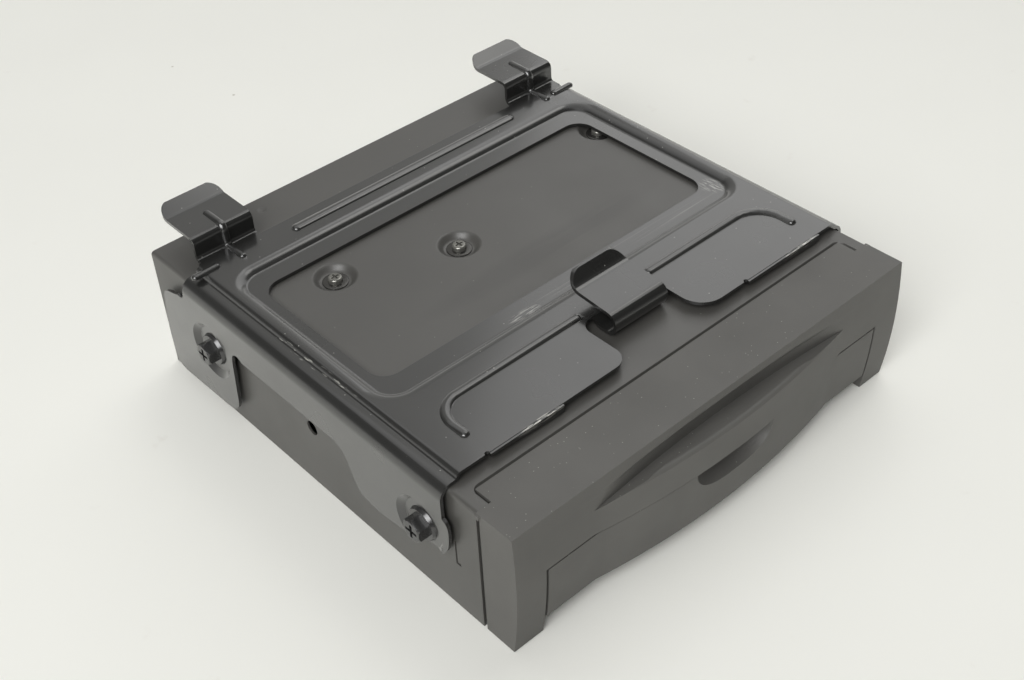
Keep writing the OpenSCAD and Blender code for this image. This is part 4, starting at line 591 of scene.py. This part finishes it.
def table_laminate(name, colour):
    """White laminate table top: matt, almost even, with a few faint marks about 14 mm across and a few specks. The
    specks are drawn coarser than real ones, because finer ones don't show in the render."""
    material, tree, shader, spot, normal = new_surface(name, roughness=0.6, ior=1.48)
    body = tint(tree, colour, mottle(tree, spot, size=160), amount=0.015)
    marks = add_node(tree, "ShaderNodeTexNoise", {"Scale": 1 / 14, "Detail": 4}, {"Vector": spot})
    faint = add_node(tree, "ShaderNodeMapRange", {"From Min": 0.7, "From Max": 0.78, "To Max": 0.25},
                     {"Value": marks.outputs["Fac"]})
    smudged = over(tree, body, hex_linear("#d9d4cc"), faint.outputs["Result"])
    specks = dust_grains(tree, spot, normal, apart=26, grain=0.9, kept=0.35, amount=0.55)
    tree.links.new(over(tree, smudged, hex_linear("#9a9080"), specks), shader.inputs["Base Color"])
    return material


def bright_spot(tree, way, toward, edge, strength):
    """A soft round light in the room, where edge holds the cosines at which it begins and is full."""
    facing = add_node(tree, "ShaderNodeVectorMath", {"operation": "DOT_PRODUCT", 1: toward}, {0: way})
    light = add_node(tree, "ShaderNodeMapRange",
                     {"interpolation_type": "SMOOTHSTEP", "From Min": edge[0], "From Max": edge[1],
                      "To Min": 0, "To Max": strength}, {"Value": facing.outputs["Value"]})
    return light.outputs["Result"]


def white_room(studio):
    """The room around the table: white walls low down that are dimmer in front, a dim ceiling, one soft window behind
    at the right and a lamp high up at the right that draws the bright lines along the beads."""
    world = bpy.data.worlds.new("white room")
    world.use_nodes = True
    tree = world.node_tree
    sky = tree.nodes["Background"]
    sky.inputs["Color"].default_value = (1, 0.993, 0.955, 1)
    way = add_node(tree, "ShaderNodeTexCoord").outputs["Generated"]
    axes = add_node(tree, "ShaderNodeSeparateXYZ", None, {0: way})
    walls = add_node(tree, "ShaderNodeMapRange",
                     {"interpolation_type": "SMOOTHSTEP", "From Min": WALL_TOP[0], "From Max": WALL_TOP[1],
                      "To Min": studio.room_wall, "To Max": studio.room_shade}, {"Value": axes.outputs["Z"]})
    front = add_node(tree, "ShaderNodeMapRange", {"From Min": FRONT_TO_BACK[0], "From Max": FRONT_TO_BACK[1],
                                                  "To Min": FRONT_DIM, "To Max": 1}, {"Value": axes.outputs["Y"]})
    dimmed = add_node(tree, "ShaderNodeMath", {"operation": "MULTIPLY"},
                      {0: walls.outputs["Result"], 1: front.outputs["Result"]})
    window = bright_spot(tree, way, WINDOW_WAY, WINDOW_EDGE, studio.room_window)
    lamp = bright_spot(tree, way, LAMP_WAY, LAMP_EDGE, studio.room_lamp)
    both = add_node(tree, "ShaderNodeMath", {"operation": "ADD"}, {0: dimmed.outputs[0], 1: window})
    all_three = add_node(tree, "ShaderNodeMath", {"operation": "ADD"}, {0: both.outputs[0], 1: lamp})
    tree.links.new(all_three.outputs[0], sky.inputs["Strength"])
    return world


class DRIVE_OT_studio(bpy.types.Operator):
    """Pale floor, soft light and the camera"""
    bl_idname = "disc_drive.studio"
    bl_label = "Studio"

    def execute(self, context):
        studio = context.scene.drive_studio
        half = studio.floor_size / 2
        mesh = bpy.data.meshes.new("floor")
        mesh.from_pydata([(-half, -half, 0), (half, -half, 0), (half, half, 0), (-half, half, 0)], [], [(0, 1, 2, 3)])
        floor = bpy.data.objects.new("floor", mesh)
        floor.location.z = CAD_BOX[0][2]
        floor.data.materials.append(table_laminate("white_laminate", studio.floor_colour))
        context.scene.collection.objects.link(floor)
        context.scene.world = white_room(studio)
        soft_lamp("key lamp", studio.key_power, size=2.6, place=(-2.5, -1.35, 2.7))
        soft_lamp("fill lamp", studio.fill_power, size=2.8, place=(2.9, 1.4, 2.6))
        soft_lamp("top lamp", studio.top_power, size=3.4, place=(0.25, 0.9, 3.6))
        photo_camera(studio)
        context.scene.view_settings.view_transform = "Standard"
        return {"FINISHED"}


class DRIVE_PT_panel(bpy.types.Panel):
    """Sidebar list of the drive's finishing steps"""
    bl_idname = "DRIVE_PT_panel"
    bl_label = "Disc drive"
    bl_space_type = "VIEW_3D"
    bl_region_type = "UI"
    bl_category = "Disc drive"

    def draw(self, context):
        for step in STEPS:
            self.layout.operator(step.bl_idname)
        for group in (context.scene.drive_finish, context.scene.drive_studio):
            for key in group.__annotations__:
                self.layout.prop(group, key)


STEPS = (DRIVE_OT_case, DRIVE_OT_front, DRIVE_OT_bracket, DRIVE_OT_screws, DRIVE_OT_boards, DRIVE_OT_suspension,
         DRIVE_OT_deck, DRIVE_OT_pickup, DRIVE_OT_clamp, DRIVE_OT_loader, DRIVE_OT_studio)
CLASSES = (DriveFinish, DriveStudio, *STEPS, DRIVE_PT_panel)


def register():
    for cls in CLASSES:
        bpy.utils.register_class(cls)
    bpy.types.Scene.drive_finish = bpy.props.PointerProperty(type=DriveFinish)
    bpy.types.Scene.drive_studio = bpy.props.PointerProperty(type=DriveStudio)


def unregister():
    del bpy.types.Scene.drive_studio
    del bpy.types.Scene.drive_finish
    for cls in reversed(CLASSES):
        bpy.utils.unregister_class(cls)


def main():
    register()
    bpy.ops.disc_drive.case()
    bpy.ops.disc_drive.front()
    bpy.ops.disc_drive.bracket()
    bpy.ops.disc_drive.screws()
    bpy.ops.disc_drive.boards()
    bpy.ops.disc_drive.suspension()
    bpy.ops.disc_drive.deck()
    bpy.ops.disc_drive.pickup()
    bpy.ops.disc_drive.clamp()
    bpy.ops.disc_drive.loader()
    bpy.ops.disc_drive.studio()


if __name__ == "__main__":
    main()
